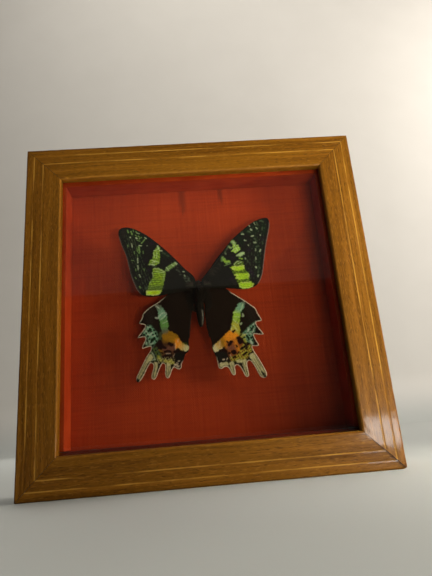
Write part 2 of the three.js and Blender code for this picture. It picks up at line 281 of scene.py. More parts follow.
def wood_look():
    """Open-grained wood, stained olive brown under satin varnish; bare on the frame's back."""
    look = Look("stained_wood")
    grain = look.attribute("grain", "Vector")
    _, inward, depth = look.parts(grain)
    sway = look.noise(look.scaled(grain, (0.011, 0.03, 0.03)), 1.0, 2)
    bent = look.moved(grain, look.joined(0.0, look.math("MULTIPLY", sway, 9.0), 0.0))
    streaks = look.noise(look.scaled(bent, (0.016, 0.8, 0.8)), 1.0, 6)
    bands = look.noise(look.scaled(bent, (0.005, 0.17, 0.17)), 1.0, 3)
    pores = look.noise(look.scaled(grain, (0.28, 2.3, 2.3)), 1.0, 3)
    flecks = look.noise(look.scaled(grain, (0.3, 1.8, 1.8)), 1.0, 2)
    base = look.ramp(streaks, [
        (0.28, tone(109, 67, 11)), (0.46, tone(123, 79, 14)),
        (0.6, tone(133, 86, 18)), (0.76, tone(153, 101, 28)),
    ])
    base = look.mix(look.step(bands, 0.38, 0.62), look.mix(1.0, base, (0.72, 0.68, 0.6), "MULTIPLY"), base)
    base = look.mix(look.step(pores, 0.54, 0.68), base, look.mix(1.0, base, (0.58, 0.54, 0.45), "MULTIPLY"))
    base = look.mix(look.math("MULTIPLY", look.step(flecks, 0.55, 0.7), 0.35), base, tone(170, 120, 46))

    front = look.step(depth, 1.4, 0.7)
    wobble = look.math("MULTIPLY", look.math("SUBTRACT", sway, 0.5), 1.2)
    # Pale lines along the two grooves on the front: worn, paler wood, and partly a painted highlight where
    # the groove edges catch the light
    for at, offset in zip(GROOVES_AT, (0.0, 31.0)):
        places = look.math("SUBTRACT", look.math("ADD", inward, look.math("MULTIPLY", wobble, 0.35)), at)
        lit = look.step(look.math("ABSOLUTE", places), 0.42, 0.16)
        run = look.moved(look.scaled(grain, (0.03, 0, 0)), (offset, 0, 0))
        shown = look.step(look.noise(run, 1.0, 2), 0.38, 0.58)
        lit = look.math("MULTIPLY", look.math("MULTIPLY", lit, front), look.math("MULTIPLY", shown, 0.5))
        base = look.mix(lit, base, tone(214, 162, 66))
    # A painted highlight: paler colour along the rounded arris at the sight edge
    arris = look.math("MULTIPLY", look.step(inward, RAIL_WIDTH - 1.3, RAIL_WIDTH - 0.3),
                      look.step(depth, 1.6, 0.4))
    base = look.mix(look.math("MULTIPLY", arris, 0.25), base, tone(158, 108, 48))
    seam = look.step(look.attribute("seam"), 0.32, 0.08)
    base = look.mix(look.math("MULTIPLY", seam, 0.75), base, tone(60, 34, 10))
    bare = look.step(look.math("ADD", depth, look.math("MULTIPLY", flecks, 0.8)), 29.6, 30.1)
    base = look.mix(bare, base, look.ramp(streaks, [(0.3, tone(150, 112, 66)), (0.7, tone(196, 160, 110))]))

    gloss = look.math("ADD", look.ramp(streaks, [(0.3, 0.34), (0.7, 0.46)]), look.math("MULTIPLY", bare, 0.3))
    relief = look.math("ADD", look.math("MULTIPLY", streaks, 0.6), look.step(pores, 0.66, 0.54))
    ripple_normal = look.bump(look.noise(look.scaled(grain, (0.02, 0.25, 0.25)), 1.0, 2), 0.25)
    look.surface(base, gloss, look.bump(relief, 0.05, ripple_normal), Specular_IOR_Level=0.2, Coat_Weight=0.3,
                 Coat_Roughness=0.1)
    return look.material


def lining_look():
    """Satin red paint, brushed on thin wood strips."""
    look = Look("red_paint")
    place = look.millimetres()
    brush = look.noise(look.scaled(place, (0.09, 0.8, 0.09)), 1.0, 4)
    cloud = look.noise(place, 0.05, 3)
    base = look.ramp(brush, [(0.3, tone(158, 50, 18)), (0.7, tone(174, 62, 25))])
    base = look.mix(look.step(cloud, 0.35, 0.65), base, look.mix(1.0, base, (0.86, 0.8, 0.8), "MULTIPLY"))
    _, depth, up = look.parts(place)
    # Painted shade: darker towards the strips' back edges, where they meet the cloth, and over the whole
    # bottom strip
    painted_shade = look.math("MAXIMUM", look.math("MULTIPLY", look.step(depth, 5.7, 6.3), 0.6),
                     look.math("MULTIPLY", look.step(up, 21.0, 20.2), 0.75))
    base = look.mix(painted_shade, base, tone(66, 16, 9))
    look.surface(base, look.ramp(cloud, [(0.3, 0.5), (0.7, 0.66)]), look.bump(brush, 0.06),
                 Specular_IOR_Level=0.15)
    return look.material


THREAD_SPACING = 0.45
# Dark smudges at the top of the cloth: across, half width, lowest place, strength
SMUDGES = ((-6.7, 3.2, 156.0, 0.5), (16.0, 2.2, 160.0, 0.55))


def cloth_look():
    """Plain weave red cloth, with slubs in the upright threads."""
    look = Look("red_weave")
    place = look.millimetres()
    across, _, up = look.parts(place)
    drift = look.noise(look.scaled(place, (0.03, 0.03, 0.006)), 1.0, 3)
    sway = look.math("MULTIPLY", look.math("SUBTRACT", drift, 0.5), 1.6)
    rate = math.pi / THREAD_SPACING
    swayed = look.math("ADD", across, sway)
    warp = look.math("SINE", look.math("MULTIPLY", swayed, rate))
    weft = look.math("SINE", look.math("MULTIPLY", look.math("ADD", up, sway), rate))
    weave = look.math("MULTIPLY", warp, weft)
    threads = look.math("MAXIMUM", look.math("ABSOLUTE", warp), look.math("ABSOLUTE", weft))
    slubs = look.noise(look.scaled(place, (1.5, 0.5, 0.035)), 1.0, 4)
    rungs = look.noise(look.scaled(place, (0.03, 0.5, 1.2)), 1.0, 3)
    cloud = look.noise(place, 0.028, 3)
    fuzz = look.noise(place, 7.0, 2)
    base = look.ramp(slubs, [(0.3, tone(171, 53, 15)), (0.5, tone(177, 57, 17)), (0.7, tone(184, 63, 20))])
    base = look.mix(look.step(rungs, 0.42, 0.7), base, look.mix(1.0, base, (0.87, 0.84, 0.84), "MULTIPLY"))
    base = look.mix(look.step(cloud, 0.35, 0.65), base, look.mix(1.0, base, (0.9, 0.86, 0.86), "MULTIPLY"))
    base = look.mix(look.step(threads, 0.9, 0.55), base, look.mix(1.0, base, (0.6, 0.5, 0.5), "MULTIPLY"))
    base = look.mix(look.math("MULTIPLY", look.step(fuzz, 0.5, 0.75), 0.2), base, tone(186, 88, 48))
    ragged = look.math("ADD", up, look.math("MULTIPLY", slubs, 24.0))
    for at, width, low, strength in SMUDGES:
        near = look.step(look.math("ABSOLUTE", look.math("SUBTRACT", swayed, at)), width, 0.3)
        high = look.math("MULTIPLY", look.step(ragged, low, low + 6), strength)
        base = look.mix(look.math("MULTIPLY", near, high), base, tone(78, 28, 16))
    height = look.math("ADD", look.math("MULTIPLY", weave, 0.5), look.math("MULTIPLY", slubs, 1.2))
    look.surface(base, look.ramp(fuzz, [(0.3, 0.74), (0.7, 0.9)]), look.bump(height, 0.07), Sheen_Weight=0.25,
                 Sheen_Roughness=0.5, Sheen_Tint=(0.9, 0.48, 0.25))
    return look.material


def hardboard_look():
    look = Look("hardboard")
    place = look.millimetres()
    fibres = look.noise(look.scaled(place, (1.0, 1.0, 0.5)), 1.4, 5)
    cloud = look.noise(place, 0.05, 3)
    base = look.ramp(fibres, [(0.3, tone(92, 62, 36)), (0.55, tone(122, 86, 52)), (0.75, tone(150, 112, 72))])
    base = look.mix(look.step(cloud, 0.35, 0.65), base, look.mix(1.0, base, (0.84, 0.8, 0.76), "MULTIPLY"))
    look.surface(base, look.ramp(fibres, [(0.3, 0.62), (0.7, 0.85)]), look.bump(fibres, 0.12))
    return look.material


def metal_look(name, dark, light, marks):
    """Thin plated sheet with rolling marks and dull patches."""
    look = Look(name)
    place = look.millimetres()
    rolled = look.noise(look.scaled(place, marks), 1.0, 4)
    patches = look.noise(place, 0.35, 3)
    base = look.mix(look.step(patches, 0.35, 0.65), dark, light)
    base = look.mix(look.math("MULTIPLY", look.step(rolled, 0.55, 0.75), 0.4), base, dark)
    look.surface(base, look.ramp(patches, [(0.3, 0.28), (0.7, 0.5)]), look.bump(rolled, 0.02), Metallic=1.0)
    return look.material


def lacquer_look():
    look = Look("pin_lacquer")
    place = look.millimetres()
    wear = look.noise(place, 2.5, 3)
    base = look.ramp(wear, [(0.4, (0.012, 0.012, 0.013)), (0.75, (0.05, 0.045, 0.04))])
    look.surface(base, look.ramp(wear, [(0.3, 0.2), (0.7, 0.4)]), look.bump(wear, 0.01), Metallic=0.6)
    return look.material


def wing_look(name):
    """Rows of tiny overlapping scales in the painted colours, smoother where they are iridescent."""
    look = Look(name)
    place = look.millimetres()
    colour = look.attribute("scales", "Color")
    gloss = look.attribute("gloss")
    rows = look.add("TexVoronoi", {"Vector": look.scaled(place, (1.0, 1.0, 0.55)), "Scale": 7.5})
    row_height, row_tint = rows.outputs["Distance"], look.parts(rows.outputs["Color"])[0]
    dust = look.noise(place, 3.2, 3)
    base = look.mix(1.0, colour, look.ramp(row_tint, [(0.0, 0.72), (0.5, 1.0), (1.0, 1.3)]), "MULTIPLY")
    base = look.mix(1.0, base, look.ramp(dust, [(0.3, 0.86), (0.7, 1.14)]), "MULTIPLY")
    shine = look.math("SUBTRACT", look.ramp(dust, [(0.3, 0.5), (0.7, 0.62)]),
                      look.math("MULTIPLY", gloss, 0.14))
    relief = look.bump(look.math("ADD", row_height, look.math("MULTIPLY", dust, 0.6)), 0.035)
    look.surface(base, shine, relief, Specular_IOR_Level=0.12)
    return look.material


def skin_look():
    """Dark scaled skin of the moth's head and body, with a painted highlight down one side of the abdomen."""
    look = Look("moth_skin")
    place = look.millimetres()
    colour = look.attribute("scales", "Color")
    scales = look.add("TexVoronoi", {"Vector": place, "Scale": 6.0}).outputs["Distance"]
    dust = look.noise(place, 2.6, 3)
    base = look.mix(1.0, colour, look.ramp(dust, [(0.3, 0.75), (0.7, 1.3)]), "MULTIPLY")
    look.surface(base, look.ramp(dust, [(0.3, 0.42), (0.7, 0.62)]), look.bump(scales, 0.05),
                 Specular_IOR_Level=0.3)
    return look.material


def hair_look():
    look = Look("moth_hair")
    colour = look.attribute("scales", "Color")
    dust = look.noise(look.millimetres(), 2.0, 2)
    base = look.mix(1.0, colour, look.ramp(dust, [(0.3, 0.8), (0.7, 1.25)]), "MULTIPLY")
    look.surface(base, look.ramp(dust, [(0.3, 0.4), (0.7, 0.6)]), Specular_IOR_Level=0.25)
    return look.material


def tone(red, green, blue):
    """A display colour, 0 to 255, as the linear colour that the shaders take."""
    levels = [c / 255 for c in (red, green, blue)]
    return tuple(c / 12.92 if c <= 0.04045 else ((c + 0.055) / 1.055) ** 2.4 for c in levels)


# ---- wing markings ----
# Places are (across, up) in millimetres. A negative distance is inside the mark.

SCALE_COLOURS = {
    "black": tone(23, 20, 14),
    "brown": tone(27, 17, 10),
    "soot": tone(44, 38, 30),
    "plum": tone(38, 22, 36),
    "lime": tone(178, 213, 37),
    "leaf": tone(143, 176, 53),
    "olive": tone(76, 93, 17),
    "sage": tone(133, 163, 86),
    "moss": tone(71, 83, 55),
    "pearl": tone(190, 199, 154),
    "dusk": tone(85, 90, 71),
    "mint": tone(114, 150, 116),
    "frost": tone(182, 184, 160),
    "jade": tone(94, 134, 66),
    "pine": tone(16, 30, 12),
    "gold": tone(143, 98, 16),
    "amber": tone(221, 132, 29),
    "rust": tone(135, 71, 29),
    "rose": tone(112, 67, 50),
    "umber": tone(74, 43, 22),
    "maroon": tone(28, 10, 7),
    "sand": tone(195, 152, 78),
    "cream": tone(211, 185, 154),
    "wax": tone(192, 178, 126),
    "citrus": tone(171, 161, 55),
    "fringe": tone(112, 90, 78),
}


def from_path(spots, path):
    """Each spot's distance from a line through the path's points, or from its one point."""
    path = np.array(path, float)
    if len(path) == 1:
        return np.linalg.norm(spots - path[0], axis=1)
    nearest = np.full(len(spots), np.inf)
    for start, end in zip(path[:-1], path[1:]):
        along = end - start
        share = np.clip((spots - start) @ along / (along @ along), 0, 1)
        nearest = np.minimum(nearest, np.linalg.norm(spots - start - share[:, None] * along, axis=1))
    return nearest


def from_region(spots, outline):
    """Each spot's distance from a closed outline, negative inside it."""
    outline = np.array(outline, float)
    distance = from_path(spots, np.vstack([outline, outline[:1]]))
    inside = np.zeros(len(spots), bool)
    x, y = spots.T
    for (ax, ay), (bx, by) in zip(outline, np.roll(outline, -1, axis=0)):
        if ay != by:
            inside ^= ((ay > y) != (by > y)) & (x < (bx - ax) * (y - ay) / (by - ay) + ax)
    return np.where(inside, -distance, distance)


def ripple(spots, pitch, seed=0.0):
    """Smooth noise between about -1 and 1, from crossing waves about pitch apart."""
    x, y = spots.T * (2 * math.pi / pitch)
    return (np.sin(0.93 * x + 0.41 * y + seed) + np.sin(-0.37 * x + 1.07 * y + 2.3 * seed + 1)
            + np.sin(0.71 * x - 0.83 * y + 1.7 * seed + 2) + np.sin(1.31 * x + 0.59 * y + 3 * seed + 4)) / 2.4


def cover(distance, soft):
    """1 well inside a mark and 0 outside it, with an edge soft millimetres wide."""
    share = np.clip(0.5 - distance / soft, 0, 1)
    return share * share * (3 - 2 * share)


class Scales:
    """The colour of each spot of a wing, painted mark by mark."""

    def __init__(self, spots, ground):
        self.spots = spots
        self.colour = np.tile(SCALE_COLOURS[ground], (len(spots), 1))
        self.gloss = np.zeros(len(spots))
        self.ragged = 0.16 * ripple(spots, 1.9) + 0.1 * ripple(spots, 0.8, 1.0)

    def lay(self, colour, share, gloss):
        """Blend in a named colour, or one for each spot, by each spot's share."""
        target = np.array(SCALE_COLOURS[colour] if isinstance(colour, str) else colour)
        self.colour += (target - self.colour) * share[:, None]
        self.gloss += (gloss - self.gloss) * share

    def region(self, colour, outline, soft=0.5, strength=1.0, gloss=0.5):
        share = cover(from_region(self.spots, outline) + self.ragged, soft) * strength
        self.lay(colour, share, gloss)

    def stroke(self, colour, width, path, soft=0.45, strength=1.0, gloss=0.5):
        distance = from_path(self.spots, path) - width / 2 + self.ragged * min(1, width)
        self.lay(colour, cover(distance, soft) * strength, gloss)

    def strokes(self, colour, marks, **options):
        """Marks of (width, point, point, ...)."""
        for width, *path in marks:
            self.stroke(colour, width, path, **options)


def river(scales, stations, soft=0.7):
    """A band through stations of (across, up, half width, colour), each blending into the next."""
    places = np.array([s[:2] for s in stations], float)
    widths = np.array([s[2] for s in stations], float)
    colours = np.array([SCALE_COLOURS[s[3]] for s in stations])
    best = np.full(len(scales.spots), np.inf)
    colour = np.zeros((len(best), 3))
    for i in range(len(stations) - 1):
        along = places[i + 1] - places[i]
        share = np.clip((scales.spots - places[i]) @ along / (along @ along), 0, 1)
        near = places[i] + share[:, None] * along
        width = widths[i] + share * (widths[i + 1] - widths[i])
        distance = np.linalg.norm(scales.spots - near, axis=1) - width
        closer = distance < best
        best = np.where(closer, distance, best)
        blend = colours[i] + share[:, None] * (colours[i + 1] - colours[i])
        colour = np.where(closer[:, None], blend, colour)
    share = cover(best + 1.4 * scales.ragged, soft)
    scales.lay(colour, share, 0.5)


def striae(scales, outline, direction, pitch, strength):
    """Fine dark lines across the scales inside an outline, along a direction in degrees."""
    angle = math.radians(direction)
    across = scales.spots @ np.array([-math.sin(angle), math.cos(angle)])
    lines = np.sin(2 * math.pi * across / pitch + 1.1 * ripple(scales.spots, 5.0))
    share = cover(from_region(scales.spots, outline) + scales.ragged, 0.6)
    scales.lay("olive", share * strength * np.clip(0.5 + lines, 0, 1), 0.3)


def mottle(scales, outline, colour, pitch, strength):
    """Ragged patches of another colour inside an outline."""
    patches = np.clip(2.2 * ripple(scales.spots, pitch, 5.0), 0, 1)
    share = cover(from_region(scales.spots, outline) + scales.ragged, 0.6)
    scales.lay(colour, share * patches * strength, 0.2)


def edge_line(scales, edge_distance, colour, width, where, soft=0.35):
    """A line along the wing's edge, as strong at each spot as where says."""
    share = cover(edge_distance - width + 0.5 * scales.ragged, soft) * where
    scales.lay(colour, share, 0.0)


LEFT_BAND = [
    (-24.3, 19.8), (-21.6, 19.9), (-19.4, 18.6), (-17.9, 17.5), (-18.3, 14.6), (-19.2, 11.4),
    (-20.2, 8), (-20.6, 6.6), (-21.8, 4.9), (-25, 4.6), (-28.4, 5.3), (-28.6, 6.8), (-27.2, 9.4),
    (-26.6, 12.2), (-24.8, 14), (-25, 17),
]
LEFT_BLOCK = [(-28.6, 7.4), (-20.5, 7.4), (-21.5, 5.2), (-25, 4.7), (-28.5, 5.1)]
LEFT_PATCH = [
    (-21.3, 32.7), (-22.5, 31.2), (-24, 28.6), (-24.2, 25.6), (-25.9, 24.4), (-26.8, 22),
    (-23.4, 21.4), (-21, 22.6), (-20.6, 25), (-20.5, 28), (-20.2, 31.4),
]


def forewing_left(spots, edge_distance):
    scales = Scales(spots, "black")
    scales.stroke("soot", 3, [(-39.6, 42), (-39.4, 39.6)], soft=2.5, strength=0.6, gloss=0)
    scales.strokes("plum", [(1.5, (-28.3, 24.6)), (1.4, (-26.6, 19)), (1.5, (-28.2, 14.2)),
                            (1.6, (-24.6, 34))],
                   soft=1.6, strength=0.75, gloss=0)
    scales.strokes("pine", [
        (3.6, (-35.6, 41), (-29, 37)), (2.4, (-30.4, 35), (-31.6, 28)), (2, (-33, 25), (-32.6, 19)),
        (2.6, (-20, 28.8), (-16.4, 26.4)),
    ], soft=2.5, strength=0.7)
    scales.region("leaf", LEFT_BAND)
    scales.strokes("lime", [(3, (-22.6, 15.6), (-21, 14.4)), (2, (-24.8, 11), (-21, 11.2))], soft=2.4,
                   strength=0.6)
    scales.stroke("gold", 1, [(-20.6, 14.2)], soft=1.4, strength=0.45)
    scales.stroke("moss", 2.2, [(-28, 8.7), (-20.4, 8.9)], soft=1.8, strength=0.6)
    mottle(scales, LEFT_BAND, "olive", 2.2, 0.45)
    striae(scales, LEFT_BAND, 3, 1.15, 0.7)
    scales.strokes("pearl", [
        (0.5, (-23.9, 19.7), (-21.4, 19.4), (-18.4, 17.3)), (0.4, (-24.8, 17.4), (-24.6, 14.8)),
        (0.3, (-23.4, 18), (-19, 17)), (0.3, (-18.7, 16.4), (-19, 13)), (0.3, (-26.4, 11.6), (-25.6, 13)),
    ], strength=0.5)
    scales.region("lime", LEFT_BLOCK, gloss=0.6)
    scales.strokes("wax", [
        (0.55, (-28.3, 7), (-28.2, 5.4), (-25, 4.9), (-22.2, 5.1)), (0.4, (-20.9, 7.2), (-21.4, 5.6)),
        (0.3, (-28.2, 7.3), (-21, 7.2)),
    ], strength=0.7)
    scales.stroke("gold", 1.6, [(-24.7, 6.1), (-23.8, 6.1)], soft=1.8, strength=0.4)
    scales.stroke("olive", 0.35, [(-28.3, 7.8), (-24.5, 7.7), (-20.4, 7.7)], strength=0.9)
    scales.region("leaf", LEFT_PATCH)
    mottle(scales, LEFT_PATCH, "olive", 1.7, 0.5)
    striae(scales, LEFT_PATCH, -17, 1.5, 0.65)
    scales.strokes("pearl", [
        (0.9, (-21.4, 32.3), (-21, 30.8)), (0.35, (-23.7, 29.8), (-21, 30.6)),
        (0.35, (-23.7, 28.6), (-23.5, 26)), (0.35, (-22, 29), (-22.2, 25.8)),
        (0.7, (-20.6, 29.9), (-19.2, 29.5)), (0.45, (-24.9, 24.6), (-23.2, 23.4)),
        (0.8, (-26, 22.2), (-23.6, 21.7)), (0.4, (-22.6, 23.6), (-21.3, 22.8)),
        (0.4, (-24.6, 23), (-22.8, 24.4)),
    ], strength=0.6)
    scales.strokes("olive", [(0.4, (-24, 25.2), (-20.8, 24.5)), (0.35, (-25.8, 23), (-22.6, 22.3))],
                   strength=0.7)
    scales.stroke("sage", 2, [(-17, 18.7), (-15.2, 20.2), (-12.6, 21.7)], soft=0.8, strength=0.9)
    mottle(scales, [(-18, 19), (-14, 23), (-11, 21), (-16, 17)], "moss", 1.5, 0.6)
    scales.strokes("pearl", [(0.8, (-12.3, 22.3), (-11.7, 21.6)), (0.35, (-17.3, 19.9), (-16, 18)),
                             (0.4, (-14.6, 21.4), (-13.2, 20.6))], strength=0.7)
    scales.strokes("moss", [(0.8, (-18.8, 28.4), (-17.6, 27.8)), (0.7, (-16.8, 26.8), (-15.6, 26.4)),
                            (0.8, (-23, 20.4), (-24.4, 20.9))], soft=0.9, strength=0.6)
    scales.strokes("pearl", [
        (0.7, (-36, 38.2)), (0.65, (-32.9, 37.9), (-32.3, 37.4)), (0.4, (-35.3, 34.6), (-35.1, 32.4)),
        (0.5, (-32.4, 26), (-32.4, 23.3)), (0.45, (-32.4, 21.8), (-32.4, 19.3)),
        (0.5, (-31.8, 16.6), (-31.3, 15.4)), (0.4, (-27.1, 33)), (0.45, (-8.6, 17.1), (-7.9, 16.9)),
        (0.6, (-7.9, 14.9), (-7.7, 14.4)), (0.5, (-31.4, 33.4), (-30.2, 33.2)),
        (0.4, (-28.2, 37.9), (-27.4, 37.2)), (0.4, (-32.2, 40.8), (-31.2, 40.2)),
    ], strength=0.8)
    scales.strokes("sage", [
        (0.6, (-37.3, 42.6), (-36.9, 41.2)), (0.7, (-35.5, 41.8), (-34.9, 40)),
        (0.45, (-34.3, 42.6), (-34.1, 41.6)), (0.5, (-32.8, 41.6), (-32.2, 40.6)),
        (0.45, (-33.2, 39.6), (-32.4, 38.6)), (0.4, (-31.6, 39), (-30.9, 38)),
        (0.4, (-32.4, 36.6), (-30.9, 35.8)), (0.5, (-31.3, 37.2), (-30, 38)),
        (0.6, (-28.2, 36.8), (-30, 34.6)), (0.9, (-31.6, 32.6), (-31.3, 29)),
        (0.35, (-32.6, 32), (-32.4, 29.6)), (0.4, (-34.1, 29.9), (-34, 28.6)),
        (0.45, (-37.5, 33.9), (-37.4, 33.1)), (0.4, (-32.4, 28), (-32.4, 27)),
        (0.4, (-33.6, 20), (-33.6, 18.9)), (0.6, (-31.9, 10), (-31.5, 9.2)),
        (0.45, (-34, 15.2), (-33.6, 14.6)), (0.4, (-35.7, 24.9), (-34.6, 24.9)),
        (0.4, (-29.3, 19.8), (-29.1, 18.6)), (0.35, (-29.4, 30), (-29.3, 28.6)),
    ], strength=0.65)
    draw = np.random.default_rng(11)
    for row, (inset, count) in enumerate(((2.2, 17), (3.4, 20), (4.6, 20), (5.8, 18), (7, 16))):
        for step in range(count):
            share = (step + draw.uniform(0.2, 0.8)) / count
            up = 40 - share * (33 - row)
            across = -41.6 + 9.6 * share ** 1.15 + inset + draw.uniform(-0.25, 0.25)
            mark = [(across, up), (across + 0.2, up - draw.uniform(0.4, 1.4))]
            scales.stroke("moss", draw.uniform(0.22, 0.4), mark, strength=draw.uniform(0.35, 0.9))
    for step in range(34):
        share = draw.uniform(0, 1)
        down = draw.uniform(0.3, 4.2)
        across, up = -12.8 + 7.4 * share, 21.4 - 7.6 * share - down
        mark = [(across, up), (across + 0.5, up - draw.uniform(0.2, 0.5))]
        scales.stroke("dusk", draw.uniform(0.25, 0.45), mark, strength=draw.uniform(0.3, 0.9))
    outer = cover(np.maximum(spots[:, 0] + 31.5, spots[:, 1] - 39), 1.5)
    edge_line(scales, edge_distance, "soot", 1.0, 0.6 * outer)
    edge_line(scales, edge_distance, "fringe", 0.36, outer)
    return scales


RIGHT_BLOCKS = [
    [(17, 17.5), (19, 18.1), (24.7, 18.1), (24.5, 15.8), (20.4, 15.4), (18.2, 16)],
    [(18.7, 13.2), (21, 13.8), (26.6, 13.6), (26.9, 12.4), (26.4, 10.6), (21, 10.3), (19.3, 11),
     (19.7, 12.2)],
    [(20.7, 8.1), (22, 8.7), (27.4, 8.7), (28.7, 7.2), (28.1, 5.8), (25.6, 5), (22.6, 5), (21, 6.2)],
]
RIGHT_GAPS = [
    [(17.8, 15.8), (24.6, 15.8), (26.4, 13.4), (18.6, 13.2)],
    [(19.6, 10.8), (26.6, 10.8), (27.4, 8.4), (20.5, 8.2)],
    [(18.2, 18), (19.6, 20), (21.2, 21), (24.2, 20.4), (24.6, 18)],
]
RIGHT_PATCH = [
    (19.4, 31), (21.6, 30.4), (22.4, 30.2), (23.6, 27.4), (22.4, 26.8), (20.7, 25.6), (18.4, 26.9),
    (19.6, 28.2),
]
RIGHT_SLANT = [(20.8, 23.9), (22.3, 25), (24.2, 25.9), (25.4, 25.5), (25.3, 24.6), (23, 23.4)]


def forewing_right(spots, edge_distance):
    scales = Scales(spots, "black")
    scales.strokes("plum", [(1.6, (18.8, 23)), (1.6, (28, 26.6)), (2, (28.6, 12.6), (27.6, 15)),
                            (2, (17, 11)),
                            (1.4, (36.4, 32.4))], soft=1.8, strength=0.7, gloss=0)
    scales.strokes("pine", [
        (3.4, (28, 38.4), (31, 36.4)), (3, (32.6, 42), (33.6, 38)), (2.6, (31.6, 34), (32.6, 27)),
        (2.4, (33, 24), (32, 11)), (2, (24, 34.8), (24.6, 31)), (2.4, (22, 22.6), (24.6, 22)),
        (2.6, (37.4, 41), (38, 36)),
    ], soft=2.2, strength=0.7)
    for outline in RIGHT_GAPS:
        scales.region("olive", outline, soft=0.9, strength=0.8)
        mottle(scales, outline, "leaf", 1.8, 0.5)
        striae(scales, outline, 2, 0.9, 0.5)
    for outline in RIGHT_BLOCKS:
        scales.region("lime", outline)
        mottle(scales, outline, "leaf", 1.6, 0.6)
        striae(scales, outline, 2, 1.0, 0.4)
    scales.strokes("wax", [
        (0.35, (18.8, 18), (24.5, 18)), (0.45, (17.6, 17.2), (19.4, 16.4)),
        (0.35, (24.3, 17.6), (24.3, 16.2)), (0.45, (19.2, 13.2), (20.8, 12.6)),
        (0.35, (19.6, 11.4), (21.2, 11)), (0.35, (26.5, 13.2), (26.6, 11.2)),
        (0.4, (21, 8), (21.2, 6.4), (22.8, 5.4), (26, 5.3), (28.2, 6.2), (28.3, 7.4)),
        (0.35, (22.6, 8.5), (27, 8.5)),
    ], strength=0.65)
    scales.strokes("pearl", [(0.45, (19.3, 19), (20.8, 20.5), (22, 20.8)),
                             (0.35, (21.6, 19.4), (23.6, 20.2))],
                   strength=0.6)
    scales.region("leaf", RIGHT_PATCH)
    mottle(scales, RIGHT_PATCH, "pearl", 1.7, 0.5)
    scales.strokes("pine", [(0.3, (21.6, 30.6), (20.6, 29.2)), (0.3, (19.8, 28.6), (22, 29.4))], strength=0.6)
    scales.region("sage", RIGHT_SLANT)
    scales.region("pearl", RIGHT_SLANT, soft=1.4, strength=0.5)
    scales.strokes("sage", [(2, (19.4, 32.4), (20.4, 31.4)), (1, (13.4, 23.6), (13, 22)),
                            (0.9, (17.3, 29.6), (18.5, 28.7))],
                   soft=1.3, strength=0.75)
    scales.strokes("pearl", [(0.8, (19.6, 32.3), (20.4, 31.5)), (0.4, (17.5, 29.5), (18.3, 28.9)),
                             (0.4, (15, 26.2), (15.4, 25.4))],
                   soft=0.8, strength=0.45)
    scales.strokes("leaf", [(1.2, (14, 22.4), (14.4, 21.2), (16.8, 21)), (0.7, (22.6, 22.4), (23.8, 22))],
                   soft=0.8, strength=0.8)
    scales.strokes("sage", [(0.8, (15, 19.9), (16.9, 20.7)), (0.5, (14.5, 23), (15, 22.2)),
                            (0.4, (14, 18.8), (17.4, 19.8))],
                   strength=0.6)
    scales.strokes("pearl", [
        (0.8, (25.2, 36.4), (26, 36.2)), (0.6, (29.5, 41.2), (29.9, 40.7)), (0.9, (30.2, 39), (30.7, 38.4)),
        (0.4, (32.4, 42.8), (33, 41.4)), (0.5, (33.3, 39.8), (34, 38.8)), (0.75, (30.2, 34.8), (31.3, 34.9)),
        (0.75, (26.4, 32.6), (27, 32.4)), (0.9, (31.4, 31), (32.2, 30.7)), (0.7, (35.2, 35)),
        (0.8, (34.3, 26.4), (34, 25.6)), (0.6, (31.8, 27.2), (31.7, 26)), (0.8, (30.8, 16.8), (31.1, 16.3)),
        (0.5, (31.4, 22.4), (31.4, 21.2)), (0.8, (31.7, 11.9), (31.4, 11.2)), (0.5, (28, 29.8), (28.2, 29.3)),
        (0.6, (25.6, 22.2), (25.8, 21.6)),
    ], strength=0.6)
    scales.strokes("moss", [
        (1, (28.6, 37.9), (29.6, 37.2)), (0.8, (33.9, 42.8), (34.3, 41.2)), (1, (36.2, 43.5), (37.4, 43.1)),
        (0.8, (31.9, 33.2), (32.5, 32.2)), (0.8, (33.4, 28.8), (32.4, 28.2)), (0.7, (17, 29.8), (16, 28)),
        (0.7, (15.2, 27), (15, 25.8)), (0.8, (30.9, 20.4), (31.2, 19.6)), (0.8, (32.4, 16.8), (32.8, 16)),
        (0.8, (36.6, 38.2), (36.8, 39.4)), (0.7, (32, 14.2), (31.6, 13.2)), (0.7, (36, 31), (36, 30)),
        (0.7, (26.6, 20.8), (26.8, 19.8)), (0.6, (24.6, 37.4), (25.6, 37.6)),
    ], soft=0.7, strength=0.75)
    draw = np.random.default_rng(12)
    for row, (inset, count) in enumerate(((2.2, 16), (3.7, 18), (5.2, 18), (6.8, 16), (8.4, 12))):
        for step in range(count):
            share = (step + draw.uniform(0.2, 0.8)) / count
            up = 42 - share * (33.5 - row)
            across = 40.8 - 8.2 * share ** 1.05 - inset + draw.uniform(-0.4, 0.4)
            mark = [(across, up), (across - 0.2, up - draw.uniform(0.2, 0.8))]
            scales.stroke("moss", draw.uniform(0.3, 0.55), mark, strength=draw.uniform(0.2, 0.6))
    for step in range(22):
        share = draw.uniform(0, 1)
        across, up = 5 + 5.4 * share, 16.4 + 4.4 * share - draw.uniform(0, 3.6)
        mark = [(across, up), (across + 0.9, up - 0.25), (across + 1.8, up - 1.1)]
        scales.stroke("soot", 0.3, mark, strength=draw.uniform(0.5, 1), gloss=0.1)
    for up in (10.6, 9.8, 8.9, 8):
        scales.stroke("soot", 0.3, [(17.4, up), (19.6, up - 0.2)], strength=0.8, gloss=0.1)
    outer = cover(np.maximum(31 - spots[:, 0], spots[:, 1] - 42), 1.5)
    edge_line(scales, edge_distance, "maroon", 1.0, 0.7 * outer)
    edge_line(scales, edge_distance, "fringe", 0.45, outer)
    return scales


def finish_tails(scales, tails, midlines):
    """Cream tails with a dark line down the middle of each."""
    scales.strokes("wax", tails, soft=0.9, strength=0.85, gloss=0.1)
    scales.strokes("black", midlines, soft=0.35, strength=0.6, gloss=0)


